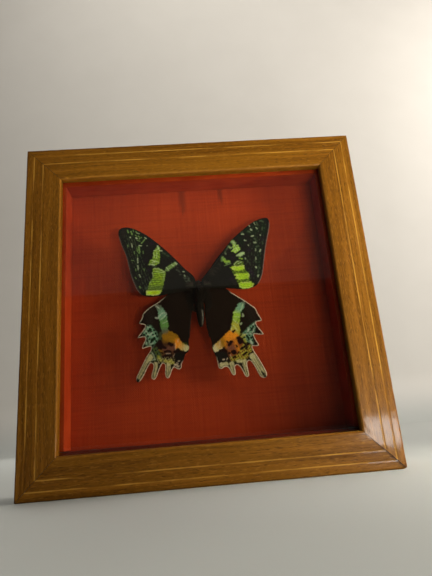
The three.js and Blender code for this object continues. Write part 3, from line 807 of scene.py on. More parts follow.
LEFT_TEETH = [(-31, -11), (-27, -11), (-24, -15), (-23.4, -18.6), (-26, -22), (-29, -22.6), (-31.6, -19)]
LEFT_TAIL_BASE = [(-28.4, -23.4), (-24.4, -22.6), (-22.4, -26.4), (-21.8, -29.6), (-27, -29.6), (-29.6, -28)]


def hindwing_left(spots, edge_distance):
    scales = Scales(spots, "brown")
    scales.stroke("soot", 4.4, [(-27, -3.6), (-27.5, -8.6)], soft=3, strength=0.55, gloss=0)
    mottle(scales, [(-30, -2), (-25, -1), (-22, -10), (-23, -15), (-30, -10)], "maroon", 1.5, 0.6)
    river(scales, [
        (-24.8, 0.5, 0.5, "fringe"), (-22.4, -1.6, 1.3, "dusk"), (-21.2, -4, 1.6, "mint"),
        (-20.8, -6.4, 2.2, "mint"), (-20.2, -9.4, 2, "jade"), (-19.9, -12, 1.9, "jade"),
        (-20, -14.4, 1.6, "dusk"), (-18.8, -17, 2.8, "gold"), (-15.8, -18.8, 2.7, "gold"),
        (-13.4, -21.6, 1.7, "amber"), (-11.3, -23.4, 1.8, "sand"), (-9.6, -24.2, 1.6, "wax"),
    ])
    scales.strokes("frost", [
        (0.8, (-24.4, -7.2), (-22.8, -7.6)), (0.55, (-22.6, -6.4), (-20.8, -5), (-18.9, -4.8)),
        (0.35, (-21.6, -8.2), (-19.6, -6.6), (-18.6, -5.6)), (0.3, (-20.8, -10.4), (-18.3, -9.4)),
        (0.6, (-24.6, 0), (-22.4, -2.2)),
    ], soft=0.6, strength=0.7)
    scales.strokes("pine", [(0.5, (-22.8, -9.2), (-22.3, -13)), (0.4, (-20.6, -8.8), (-19, -7.4)),
                            (0.45, (-17.9, -5), (-17.7, -10))], strength=0.7, gloss=0.1)
    scales.stroke("gold", 1.4, [(-20.2, -16.6), (-18.6, -16.8)], soft=1.4, strength=0.6)
    scales.stroke("moss", 1.5, [(-22, -15.6), (-22.6, -18.4)], soft=1.4, strength=0.7)
    scales.region("umber", [(-24.6, -20.4), (-20, -19.6), (-15.2, -20.8), (-15, -25), (-15.4, -28.6),
                            (-24.6, -29)],
                  soft=1.8, strength=0.95, gloss=0.2)
    scales.stroke("rose", 3, [(-20, -24.4), (-16.6, -23.8)], soft=2.4, strength=0.8, gloss=0.2)
    scales.strokes("gold", [(1.8, (-20.6, -19.6), (-16, -20)), (1.6, (-23.6, -24), (-22, -25.6))], soft=2,
                   strength=0.6)
    scales.stroke("amber", 1, [(-14.2, -20), (-14.5, -23.6)], soft=0.7)
    scales.strokes("maroon", [
        (3.4, (-23.2, -20.6), (-22.6, -22.4)), (1.75, (-18, -21.3), (-16.7, -22)),
        (1.35, (-25, -25.1), (-23.2, -26)), (1.25, (-20.4, -25.3), (-18.8, -25), (-17.4, -25.6)),
        (1.45, (-21.3, -28), (-19.6, -27.2), (-17.4, -27.3)), (1.65, (-15.2, -25.7), (-14, -26)),
        (1.15, (-16.6, -28.7), (-15.4, -28.4)), (1.15, (-17.6, -28.9), (-19, -28.8)),
        (1.35, (-20.9, -22.8), (-20, -23.4)), (0.9, (-24.6, -27.4), (-23.6, -28)),
        (0.8, (-22.6, -25.6), (-21.6, -25.9)),
    ], soft=0.5, gloss=0)
    scales.strokes("cream", [(0.35, (-14.7, -21.4), (-15, -24.6)), (0.5, (-13.3, -19.6), (-13.4, -20.6)),
                             (0.35, (-16.2, -27.9), (-15.4, -26.8)), (0.4, (-19.8, -26.3), (-17.8, -26.4))],
                   soft=0.6, strength=0.5)
    scales.stroke("olive", 1, [(-11, -21.6), (-9.4, -22)], soft=1.2, strength=0.5)
    scales.region("mint", LEFT_TEETH, soft=1, strength=0.9)
    mottle(scales, LEFT_TEETH, "pine", 2, 1.0)
    scales.strokes("frost", [
        (0.6, (-30.4, -12.6), (-29.4, -14.4)), (0.7, (-28.8, -15.4), (-27.6, -16.2), (-26.6, -15)),
        (0.6, (-29.8, -17.4), (-29.6, -20.4)), (0.6, (-28.4, -21.4), (-26.4, -20.4)),
        (0.5, (-26.4, -16.8), (-25, -16.6)), (0.5, (-29.6, -11.4), (-28, -12)),
        (0.4, (-27.6, -18.6), (-28.4, -20.4)),
    ], soft=0.6, strength=0.65)
    scales.strokes("pine", [
        (1.6, (-28, -13.9), (-27.2, -13.4)), (1.8, (-26.6, -18.8), (-25.6, -18.2)),
        (0.4, (-30.6, -16.6), (-29.4, -14.8)), (0.4, (-29, -16.8), (-28.8, -20)),
        (0.5, (-24.6, -15.6), (-24, -17.4)),
    ], soft=0.6, gloss=0.1)
    scales.region("moss", LEFT_TAIL_BASE, soft=1, strength=0.85)
    mottle(scales, LEFT_TAIL_BASE, "black", 1.7, 1.0)
    mottle(scales, LEFT_TAIL_BASE, "olive", 2.3, 0.6)
    scales.strokes("frost", [(0.45, (-27.7, -23.3), (-26.4, -22.8)),
                             (0.5, (-27.6, -24.4), (-26.2, -26.6), (-25.6, -29)),
                             (0.4, (-26.8, -29.2), (-25.4, -28.8))], soft=0.6, strength=0.6)
    scales.strokes("black", [(3.9, (-13.8, -28), (-12.9, -29)), (0.6, (-13.6, -31.3), (-12.6, -31.2)),
                             (0.5, (-16.6, -30.2), (-16, -30.6))], soft=0.8, gloss=0)
    scales.strokes("citrus", [
        (1.3, (-23.8, -27.8), (-22.6, -29.6)), (1.6, (-20.6, -30), (-18, -30.9)),
        (1.1, (-17.6, -29.8), (-16.4, -31.4)),
    ], soft=1.1, strength=0.8)
    mottle(scales, [(-24.5, -28), (-15.5, -28.6), (-15.6, -32), (-24, -31)], "wax", 1.3, 0.5)
    scales.strokes("cream", [(0.4, (-13.9, -30.6), (-13.2, -30.5)), (0.35, (-14.6, -31.4), (-14, -31.7)),
                             (1.4, (-15.6, -32.4), (-14, -33.2))],
                   soft=0.6, strength=0.7)
    finish_tails(
        scales,
        [(3.2, (-28.2, -27.6), (-31.4, -32.8), (-34.2, -38)), (2.4, (-25.4, -31.4), (-26.6, -37.6)),
         (2.4, (-19, -32.2), (-19.4, -37.4))],
        [(0.45, (-28.6, -30), (-31.2, -34.4), (-33.6, -37.8)), (0.4, (-25.8, -32.6), (-26.7, -37.6)),
         (0.45, (-18.6, -32.8), (-19.4, -37)), (0.3, (-30, -30.4), (-32.6, -35)),
         (0.35, (-15, -32.6), (-13.8, -33))],
    )
    fringe = cover(np.minimum(spots[:, 0] + 19.5, spots[:, 1] + 30), 3) * cover(spots[:, 0] + 11.6, 1)
    edge_line(scales, edge_distance, "maroon", 1.05, 0.55 * fringe)
    edge_line(scales, edge_distance, "cream", 0.4, 0.85 * fringe, 0.4)
    scales.stroke("fringe", 0.9, [(-21, 2.6), (-24.4, 0.2)], soft=0.7, strength=0.5, gloss=0)
    scales.stroke("black", 1.5, [(-34.4, -38.6), (-35.2, -40)], soft=0.8, gloss=0)
    return scales


RIGHT_TEETH = [(28, -12.6), (27, -17.6), (26, -20), (25.4, -24.6), (22.6, -24), (19.4, -20.2),
               (20.4, -18.6), (25, -14.6)]
RIGHT_TAIL_BASE = [(20.4, -24), (24.2, -25), (25.4, -29), (19.6, -33), (13, -32.6), (12.6, -30.6),
                   (17, -29.6), (18.6, -26)]


def hindwing_right(spots, edge_distance):
    scales = Scales(spots, "brown")
    scales.stroke("soot", 4.4, [(25.4, -5.4), (26, -10.5)], soft=3, strength=0.45, gloss=0)
    mottle(scales, [(22.6, -3), (27, -5), (30, -13), (25, -14.6), (20, -18), (20.6, -10)], "maroon", 1.5, 0.6)
    mottle(scales, [(21, -11), (27, -12), (25, -15), (20.4, -18)], "pine", 1.9, 0.6)
    river(scales, [
        (22.8, -1.8, 0.7, "dusk"), (21, -3.9, 1.7, "mint"), (19.4, -5.8, 1.6, "mint"),
        (18.3, -8, 1.9, "leaf"), (17.7, -11, 1.9, "leaf"), (17.1, -13.6, 1.9, "citrus"),
        (16.8, -16.6, 2.3, "citrus"), (15.6, -18.8, 2.8, "amber"), (12.6, -20.4, 2.2, "amber"),
        (9.6, -22.8, 2, "gold"), (7.4, -24.4, 2, "sand"), (5.8, -25.6, 1.6, "wax"),
    ])
    scales.strokes("pearl", [
        (0.4, (16.6, -7.4), (19, -7)), (0.35, (16, -10.8), (18.4, -13.4)), (0.35, (17, -9.6), (19.2, -9.8)),
        (1.1, (21.4, -8.7), (21.3, -9.6)), (0.9, (20.1, -13.2), (20, -13.8)), (0.5, (22, -3), (20.6, -6.4)),
        (0.35, (14.8, -14.4), (14.6, -17)), (0.3, (15.8, -14), (17.8, -17)),
    ], soft=0.6, strength=0.55)
    scales.strokes("pine", [(0.7, (22.3, -6.4), (21, -7.6)), (0.35, (16, -8.8), (15.6, -12)),
                            (0.35, (17.8, -12.6), (19, -10.6))],
                   strength=0.65, gloss=0.1)
    scales.strokes("citrus", [(1.2, (18.4, -16.4), (18.4, -19))], soft=1, strength=0.7)
    scales.region("rust", [(11, -22.4), (15, -21), (19.6, -20), (20.4, -23.6), (20, -29), (12.6, -30.6),
                           (11.4, -26)],
                  soft=1.6, strength=0.95, gloss=0.3)
    scales.strokes("amber", [
        (1.8, (12, -21.8), (16.6, -20.4)), (1.6, (16.4, -22.6), (16.6, -25.4), (18.8, -28.4)),
        (0.9, (10.6, -23), (11.4, -25.4)),
    ], soft=1.8, strength=0.65)
    scales.stroke("rose", 2, [(12.4, -25.8), (15, -25.9)], soft=1.6, strength=0.8, gloss=0.2)
    scales.strokes("gold", [(1.4, (10, -21.6), (9.6, -24.4)), (1.2, (17.8, -27.8), (18.8, -29.6))],
                   soft=1.2, strength=0.6)
    scales.strokes("cream", [(0.8, (5.1, -24), (5.6, -27)), (0.5, (8.2, -21.8), (7.6, -24.6)),
                             (0.35, (13, -29.4), (13.4, -31.6)),
                             (0.5, (6.6, -26.8), (9, -25.6))], soft=0.8, strength=0.5)
    scales.region("mint", RIGHT_TEETH, soft=1, strength=0.85)
    mottle(scales, RIGHT_TEETH, "pine", 1.9, 1.0)
    scales.strokes("frost", [
        (0.5, (27.2, -13.6), (26.2, -14.6)), (0.9, (23.8, -16.2), (23.2, -18)),
        (0.5, (26.6, -16.8), (25.4, -18.6)), (0.9, (24, -23), (24.8, -24.6)),
        (0.4, (22.6, -19.2), (21, -19.2)), (0.5, (25.2, -19.4), (24, -19.4)),
    ], soft=0.6, strength=0.7)
    scales.strokes("citrus", [(1.1, (20.2, -19.6), (21.6, -19.8)), (1.3, (21, -21.8), (21.4, -23)),
                              (0.7, (19.6, -20.2), (20.4, -21.2))],
                   soft=0.8, strength=0.7)
    scales.strokes("pine", [
        (1, (25.8, -16.2), (25, -17.5)), (1.3, (22.4, -20.3), (23.2, -21.6)),
        (0.7, (20.2, -21.3), (21.4, -20.8)), (0.6, (22.4, -22.6), (23.2, -22.2)),
        (0.5, (20.2, -18), (19.8, -16.6)),
    ], soft=0.5, gloss=0.1)
    scales.region("citrus", RIGHT_TAIL_BASE, soft=1, strength=0.8)
    mottle(scales, RIGHT_TAIL_BASE, "rust", 2.1, 0.7)
    mottle(scales, RIGHT_TAIL_BASE, "black", 1.4, 0.65)
    scales.strokes("maroon", [
        (0.8, (27.5, -15.2), (29.9, -19.5)), (0.8, (25.2, -21), (26.8, -24.3)),
        (1.7, (12.9, -24.1), (14, -22.7)), (2.4, (18.4, -22.3), (18.7, -23.1)),
        (1.4, (17.5, -20.8), (18.4, -21)), (1.25, (23, -24.1), (21, -25.6), (18.8, -26.9)),
        (2.4, (14.5, -28), (15.1, -28.2)), (1.3, (12.5, -28.4)), (1.1, (14.4, -30.8), (15.5, -30.4)),
        (1.2, (19.7, -29.9), (21.4, -28.9)), (1.25, (22.5, -29.9), (24.8, -28.8)),
        (1.5, (8, -26.9), (9.4, -26.8), (10.8, -27.4)), (1.1, (15.4, -17.6), (16.3, -17)),
        (1.0, (20.1, -23.3), (21.2, -24.4)), (1.1, (19.6, -21.6), (19.8, -22.8)),
        (1.05, (21.4, -27), (22, -26.2)), (0.8, (16.4, -24.6), (16.8, -25.6)),
        (0.8, (11.8, -22.2), (12.4, -22.8)), (0.7, (16.8, -29), (17.6, -28.2)),
    ], soft=0.5, gloss=0)
    scales.strokes("black", [(3.9, (7.2, -29.4), (9.4, -29.4)), (1.2, (6.8, -31.8), (10.8, -32))],
                   soft=0.8, gloss=0)
    scales.strokes("cream", [(0.6, (9, -31.5), (9.6, -31.5)), (0.45, (7.2, -33.4), (8.4, -33.2)),
                             (0.4, (10.8, -31.8), (11.4, -31))],
                   soft=0.5, strength=0.8)
    finish_tails(
        scales,
        [(3.2, (24.4, -31), (27, -36), (29, -40.4)), (2.4, (20, -33.4), (21, -40)),
         (2.4, (13.3, -34), (14, -38.6)), (2.2, (10.6, -34), (8, -34.4)), (1.4, (16.4, -33), (18.4, -33))],
        [(0.4, (24.8, -32.4), (27, -36.6)), (0.5, (27, -36.6), (28.8, -40.4)),
         (0.4, (19, -33.6), (20.8, -39.8)),
         (0.4, (13.2, -34), (14, -38.4)), (0.3, (25.8, -31.6), (27.8, -36.4))],
    )
    fringe = cover(np.minimum(16 - spots[:, 0], spots[:, 1] + 30), 3) * cover(5.6 - spots[:, 0], 1)
    edge_line(scales, edge_distance, "maroon", 1.0, 0.45 * fringe)
    edge_line(scales, edge_distance, "cream", 0.44, 0.85 * fringe, 0.4)
    scales.stroke("black", 1.2, [(28.4, -39.6), (29.6, -41.6)], soft=0.8, gloss=0)
    return scales


PAINTERS = {
    "forewing_left": forewing_left,
    "forewing_right": forewing_right,
    "hindwing_left": hindwing_left,
    "hindwing_right": hindwing_right,
}


# ---- shapes ----


def make_piece(name, places, faces, material, slot, *replaced, sharp=None, **values):
    """A mesh piece from places in millimetres that rides on the frame and stands for CAD nodes.

    Each of values is an attribute, one row for each vertex: a number, a vector or a colour.
    """
    mesh = bpy.data.meshes.new(name)
    mesh.from_pydata(points(places).tolist(), [], [list(map(int, f)) for f in faces])
    for key, rows in values.items():
        rows = np.asarray(rows, float)
        if rows.ndim == 1:
            mesh.attributes.new(key, "FLOAT", "POINT").data.foreach_set("value", rows)
        elif key == "scales":
            colours = np.hstack([rows, np.ones((len(rows), 1))])
            mesh.attributes.new(key, "FLOAT_COLOR", "POINT").data.foreach_set("color", colours.ravel())
        else:
            mesh.attributes.new(key, "FLOAT_VECTOR", "POINT").data.foreach_set("vector", rows.ravel())
    cleaned = bmesh.new()
    cleaned.from_mesh(mesh)
    bmesh.ops.recalc_face_normals(cleaned, faces=cleaned.faces)
    cleaned.to_mesh(mesh)
    cleaned.free()
    mesh.shade_smooth()
    if sharp is not None:
        mesh.set_sharp_from_angle(angle=math.radians(sharp))
    piece = add_object(name, mesh)
    mesh.materials.append(material)
    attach(piece, "root")
    if replaced:
        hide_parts(*replaced)
    return piece


def ring_faces(rings, size, start=0):
    """Quads between closed rings of size vertices that follow one another."""
    faces = []
    for ring in range(rings - 1):
        low = start + ring * size
        for i in range(size):
            j = (i + 1) % size
            faces.append((low + i, low + j, low + size + j, low + size + i))
    return faces


# Frame rails
OUTER_ARRIS = 0.8
SIGHT_ARRIS = 1.0
SEAM_GAP = 0.03
GROOVE_DEPTH = 0.2
GROOVE_HALF_WIDTH = 0.4
# The radius of each rail's outer corner at the start and at the end of its run
CORNER_RADII = {
    "rail_bottom": (0.7, 2.0),
    "rail_left": (0.9, 0.7),
    "rail_top": (0.7, 0.9),
    "rail_right": (2.0, 0.7),
}
# Nicks as (along, inward, radius, depth)
NICKS = {
    "rail_top": [(67.2, 17.7, 1.0, 0.5), (65.6, 18.4, 0.8, 0.5)],
    "rail_bottom": [(32.0, 13.2, 0.4, 0.15)],
}


def rail_section():
    """Points of (inward, depth) round a rail, front face finest."""
    quarter = np.linspace(0, math.pi / 2, 7)
    outer = [(0.0, d) for d in np.linspace(FRAME_DEPTH, OUTER_ARRIS, 14)[:-1]]
    outer += [(OUTER_ARRIS * (1 - math.cos(a)), OUTER_ARRIS * (1 - math.sin(a))) for a in quarter]
    front = [(u, 0.0) for u in np.arange(OUTER_ARRIS + 0.3, RAIL_WIDTH - SIGHT_ARRIS - 0.1, 0.3)]
    edge = RAIL_WIDTH - SIGHT_ARRIS
    sight = [(edge + SIGHT_ARRIS * math.sin(a), SIGHT_ARRIS * (1 - math.cos(a))) for a in quarter]
    sight += [(RAIL_WIDTH, d) for d in np.linspace(SIGHT_ARRIS, LIP_DEPTH, 5)[1:]]
    hidden = [(REBATE_WALL + 2, LIP_DEPTH), (REBATE_WALL, LIP_DEPTH)]
    hidden += [(REBATE_WALL, d) for d in np.linspace(LIP_DEPTH, FRAME_DEPTH, 8)[1:]]
    hidden += [(u, FRAME_DEPTH) for u in np.linspace(REBATE_WALL, 0, 10)[1:-1]]
    return np.array(outer + front + sight + hidden)


def make_rail(name, turns, material):
    """A mitred rail, shaped as the bottom one and then turned by quarter turns to its place."""
    section = rail_section()
    near_end = np.array([0, 0.1, 0.25, 0.45, 0.7, 1, 1.4, 1.9, 2.5])
    stations = np.concatenate([near_end - HALF, np.arange(-HALF + 3.1, HALF - 3, 0.7), HALF - near_end[::-1]])
    inward, depth = (np.tile(c, (len(stations), 1)) for c in section.T)
    along = stations[:, None] / HALF * (HALF - inward - SEAM_GAP)
    front = cover(depth - 1.2, 0.6)
    face = np.stack([along.ravel(), inward.ravel()], axis=1)

    swell = (0.04 * ripple(face, 23, turns) + 0.015 * ripple(face, 5, turns)).reshape(along.shape)
    moulded = np.zeros_like(along)
    for at, seed in zip(GROOVES_AT, (1.0, 4.0)):
        strength = 0.8 + 0.2 * ripple(face * (1, 0), 17, seed + turns).reshape(along.shape)
        groove = np.clip(1 - np.abs(inward - at) / GROOVE_HALF_WIDTH, 0, 1)
        moulded += GROOVE_DEPTH * strength * groove ** 1.3
    worn = np.clip(0.5 + 0.5 * ripple(face * (1, 0), 9, 2 + turns), 0, None).reshape(along.shape)
    arris = np.exp(-((RAIL_WIDTH - inward) / 0.7) ** 2) + np.exp(-(inward / 0.6) ** 2)
    sunk = moulded + np.clip(swell, 0, None) + 0.12 * worn * arris
    for at, reach, radius, deep in NICKS.get(name, []):
        away = np.hypot((along - at) / 1.6, inward - reach)
        sunk += deep * np.exp(-(away / radius) ** 2)
    if name == "rail_bottom":
        sunk += 0.028 * (RAIL_WIDTH - inward)
    depth = depth + front * sunk

    for side, radius in zip((-1, 1), CORNER_RADII[name]):
        a, b = HALF - side * along, inward.copy()
        reach = np.hypot(radius - a, radius - b)
        outside = (a < radius) & (b < radius) & (reach > radius)
        share = np.where(outside, radius / np.maximum(reach, 1e-6), 1.0)
        along = np.where(outside, side * (HALF - radius + (radius - a) * share), along)
        inward = np.where(outside, radius - (radius - b) * share, inward)

    across, up = along, inward - HALF
    for _ in range(turns):
        across, up = up, -across
    places = np.stack([across.ravel(), up.ravel(), depth.ravel()], axis=1)
    size = len(section)
    faces = ring_faces(len(stations), size)
    faces += [tuple(range(size)), tuple(range(len(places) - size, len(places)))]
    grain = np.stack([along.ravel() + 137 * turns, inward.ravel(), depth.ravel()], axis=1)
    seam = (HALF - np.abs(along) - inward).ravel()
    return make_piece(f"{name}_wood", places, faces, material, "stained_wood", name,
                      sharp=50, grain=grain, seam=seam)


# Wings
WING_PITCH = 0.27
LONGEST_SIDE = 0.34
MEMBRANE = 0.16
SINK = 0.16  # how far the membrane lies behind the CAD wing's front face
VEIN_WIDTH = 0.16
# Each wing's root, and the ends of the veins that fan out from it
VEINS = {
    "forewing": ((4, 9), [
        (17, 34), (25, 40), (32, 44), (38, 45), (41, 40), (39, 33), (37.5, 27), (36, 20), (34, 12), (29, 6),
    ]),
    "hindwing": ((3, 4), [
        (24, 0), (29, -7), (31, -14), (30, -20), (27, -26), (26, -32), (19, -36), (13, -36), (8, -33),
    ]),
}


def front_face(node):
    """A wing's front face in the CAD: its outline, and its depth as a plane over (1, across, up)."""
    turn = node.matrix_world.to_3x3()
    places = [node.matrix_world @ v.co / MM for v in node.data.vertices]
    spots = [tuple(round(c, 3) for c in (v.x, v.z - HALF, v.y + FRAME_DEPTH / 2)) for v in places]
    sides = set()
    for face in node.data.polygons:
        if (turn @ face.normal).y < -0.9:
            corners = [spots[i] for i in face.vertices]
            for a, b in zip(corners, corners[1:] + corners[:1]):
                if (b, a) in sides:
                    sides.remove((b, a))
                else:
                    sides.add((a, b))
    following = dict(sides)
    loop = [min(following)]
    while following[loop[-1]] != loop[0]:
        loop.append(following[loop[-1]])
    loop = np.array(loop)
    plane = np.linalg.lstsq(np.insert(loop[:, :2], 0, 1, axis=1), loop[:, 2], rcond=None)[0]
    return loop[:, :2], plane


def refined(outline, longest):
    """The closed outline with its sides cut into pieces no longer than longest."""
    made = []
    for a, b in zip(outline, np.roll(outline, -1, axis=0)):
        cuts = math.ceil(np.linalg.norm(b - a) / longest)
        made += [a + (b - a) * i / cuts for i in range(cuts)]
    return np.array(made)


def wing_sheet(outline):
    """Triangles that fill an outline: their vertices, outline first, and the faces."""
    low, high = outline.min(axis=0), outline.max(axis=0)
    rows = np.arange(low[1], high[1], WING_PITCH * 0.866)
    spots = np.array([
        (across + (i % 2) * WING_PITCH / 2, up)
        for i, up in enumerate(rows) for across in np.arange(low[0], high[0], WING_PITCH)
    ])
    spots = spots[from_region(spots, outline) < -0.55 * WING_PITCH]
    vertices = np.vstack([outline, spots])
    sides = [(i, (i + 1) % len(outline)) for i in range(len(outline))]
    made = delaunay_2d_cdt([Vector(v) for v in vertices], sides, [], 1, 1e-7)
    return np.array([tuple(v) for v in made[0]]), [tuple(f) for f in made[2]]


def make_wing(name, material):
    kind, side = name.split("_")
    outline, plane = front_face(nodes[name])
    mirror = np.array([-1 if side == "left" else 1, 1])
    at_root = np.clip(2.2 - np.abs(outline[:, 0] + 0.7) / 3, 0, 1) * np.clip(outline[:, 1] / 3 + 0.7, 0, 1)
    outline[:, 0] -= mirror[0] * 1.8 * at_root
    outline = refined(outline, LONGEST_SIDE)
    spots, faces = wing_sheet(outline)
    edge_distance = -from_region(spots, outline)
    scales = PAINTERS[name](spots, edge_distance)
    root, tips = VEINS[kind]
    ridge = np.zeros(len(spots))
    for tip in tips:
        bend = (np.array(root) * 0.45 + np.array(tip) * 0.55) + (0.6, 0.9)
        path = [np.array(root) * mirror, bend * mirror, np.array(tip) * mirror]
        ridge = np.maximum(ridge, np.exp(-(from_path(spots, path) / VEIN_WIDTH) ** 2))
    inside = np.clip(edge_distance / 1.5, 0, 1)
    buckle = 0.08 * ripple(spots, 14, 2.0) + 0.012 * ripple(spots, 4.3, 1.0)
    depth = plane[0] + spots @ plane[1:] + SINK + inside * buckle - 0.02 * ridge * inside
    places = np.vstack([np.column_stack([spots, depth]), np.column_stack([spots, depth + MEMBRANE])])
    count = len(spots)
    border = {}
    for face in faces:
        for a, b in zip(face, face[1:] + face[:1]):
            border[(a, b)] = (b, a) not in border
            if not border[(a, b)]:
                border[(b, a)] = False
    walls = [(a, b, b + count, a + count) for (a, b), lone in border.items() if lone]
    backs = [tuple(i + count for i in reversed(face)) for face in faces]
    colours = np.vstack([scales.colour, 0.75 * scales.colour])
    gloss = np.tile(scales.gloss, 2)
    make_piece(f"{name}_scales", places, faces + backs + walls, material, f"{kind}_scales", name,
               scales=colours, gloss=gloss)


# Body
AROUND = 40
# Stations of (up, across, half width, half depth, depth of the axis)
HEAD_RINGS = [
    (11.7, -0.9, 0.5, 0.5, 11.9), (11.3, -0.9, 1.1, 0.9, 11.9), (10.7, -0.9, 1.55, 1.2, 12),
    (10, -0.9, 1.7, 1.3, 12), (9.3, -0.85, 1.5, 1.3, 12.1), (8.6, -0.8, 1.1, 1.2, 12.1),
]
TORSO_RINGS = [
    (9.6, -0.8, 0.9, 0.8, 12.2), (9.2, -0.75, 1.9, 1.7, 12.2), (8.4, -0.7, 2.6, 2.3, 12.3),
    (7.2, -0.6, 2.95, 2.7, 12.3), (5.8, -0.6, 3.05, 2.85, 12.3), (4.2, -0.6, 2.95, 2.75, 12.3),
    (2.8, -0.7, 2.7, 2.5, 12.3), (1.6, -0.8, 2.4, 2.25, 12.3), (0.6, -0.9, 2.1, 2.05, 12.3),
]
ABDOMEN_RINGS = [
    (2, -0.85, 1.9, 1.8, 12.4), (1, -0.9, 2.1, 2.05, 12.3), (-1, -0.9, 2.2, 2.15, 12.3),
    (-3, -0.9, 2.2, 2.15, 12.3), (-5, -0.9, 2.1, 2.05, 12.3), (-7, -0.9, 1.95, 1.85, 12.3),
    (-9, -0.9, 1.7, 1.6, 12.3), (-10.7, -0.9, 1.4, 1.3, 12.3), (-12, -0.9, 1.05, 0.95, 12.3),
    (-13, -0.9, 0.6, 0.55, 12.3), (-13.5, -0.9, 0.2, 0.2, 12.3),
]
SEGMENT = 1.75
# Hair over the wing roots: lowest and highest place, depth, longest hair, count on each side
WING_TUFTS = [(6.4, 10.9, 10.7, 2.6, 900), (-5.5, 7.4, 11.6, 2.4, 1300)]
# Hindwings' hairy inner margins as (up, across), with the side of the body they are on
INNER_MARGINS = [
    (-1, [(-19, -7.7), (-12.5, -6.8), (-6.5, -5.8), (-0.5, -4.8), (1, -4.2)]),
    (1, [(-19, 3.1), (-13, 2.1), (-8, 1.8), (-3.5, 1.8), (1, 2.3)]),
]


def body_rings(stations, step, around, segmented=False):
    """Rings of places between stations, evenly close, as (rings, around, 3)."""
    stations = np.array(stations, float)
    ups = np.arange(stations[0, 0], stations[-1, 0] - 1e-6, -step)
    across, wide, deep, axis = (np.interp(-ups, -stations[:, 0], stations[:, i]) for i in (1, 2, 3, 4))
    if segmented:
        bulge = np.abs(np.sin(math.pi * (ups - 1) / SEGMENT)) ** 0.5
        wide, deep = wide * (0.93 + 0.08 * bulge), deep * (0.93 + 0.08 * bulge)
    angles = np.linspace(0, 2 * math.pi, around, endpoint=False)
    return np.stack([
        across[:, None] + wide[:, None] * np.sin(angles),
        np.tile(ups[:, None], (1, around)),
        axis[:, None] - deep[:, None] * np.cos(angles),
    ], axis=2)


def ball(centre, radii, rows=12, around=18):
    """Places and faces of a small ellipsoid."""
    turns = np.linspace(0, 2 * math.pi, around, endpoint=False)
    places = []
    for tip in np.linspace(0.02, math.pi - 0.02, rows):
        places += [(centre[0] + radii[0] * math.sin(tip) * math.sin(a), centre[1] + radii[1] * math.cos(tip),
                    centre[2] - radii[2] * math.sin(tip) * math.cos(a)) for a in turns]
    faces = ring_faces(rows, around) + [tuple(range(around)),
                                        tuple(range((rows - 1) * around, rows * around))]
    return places, faces


def body_tone(places):
    """Colours of the skin: dark brown, greyer on the thorax, with a painted highlight down the abdomen's
    right side.
    """
    colours = np.tile(tone(27, 21, 14), (len(places), 1))
    _, up, depth = places.T
    head = cover(8.8 - up, 1.0)
    colours += (np.array(tone(46, 36, 28)) - colours) * head[:, None]
    spots = places[:, :2]
    # A painted highlight: a pale streak down the front of the abdomen, right of its middle
    middle = from_path(spots, [(0.1, -5), (0.35, -8), (0.1, -12)])
    painted_sheen = cover(middle - 0.3, 0.9) * cover(depth - 12.4, 1.0)
    colours += (np.array(tone(112, 106, 92)) - colours) * (0.8 * painted_sheen)[:, None]
    collar = cover(np.abs(up - 9) - 0.3, 0.6)
    colours += (np.array(tone(52, 56, 34)) - colours) * (0.5 * collar)[:, None]
    return colours


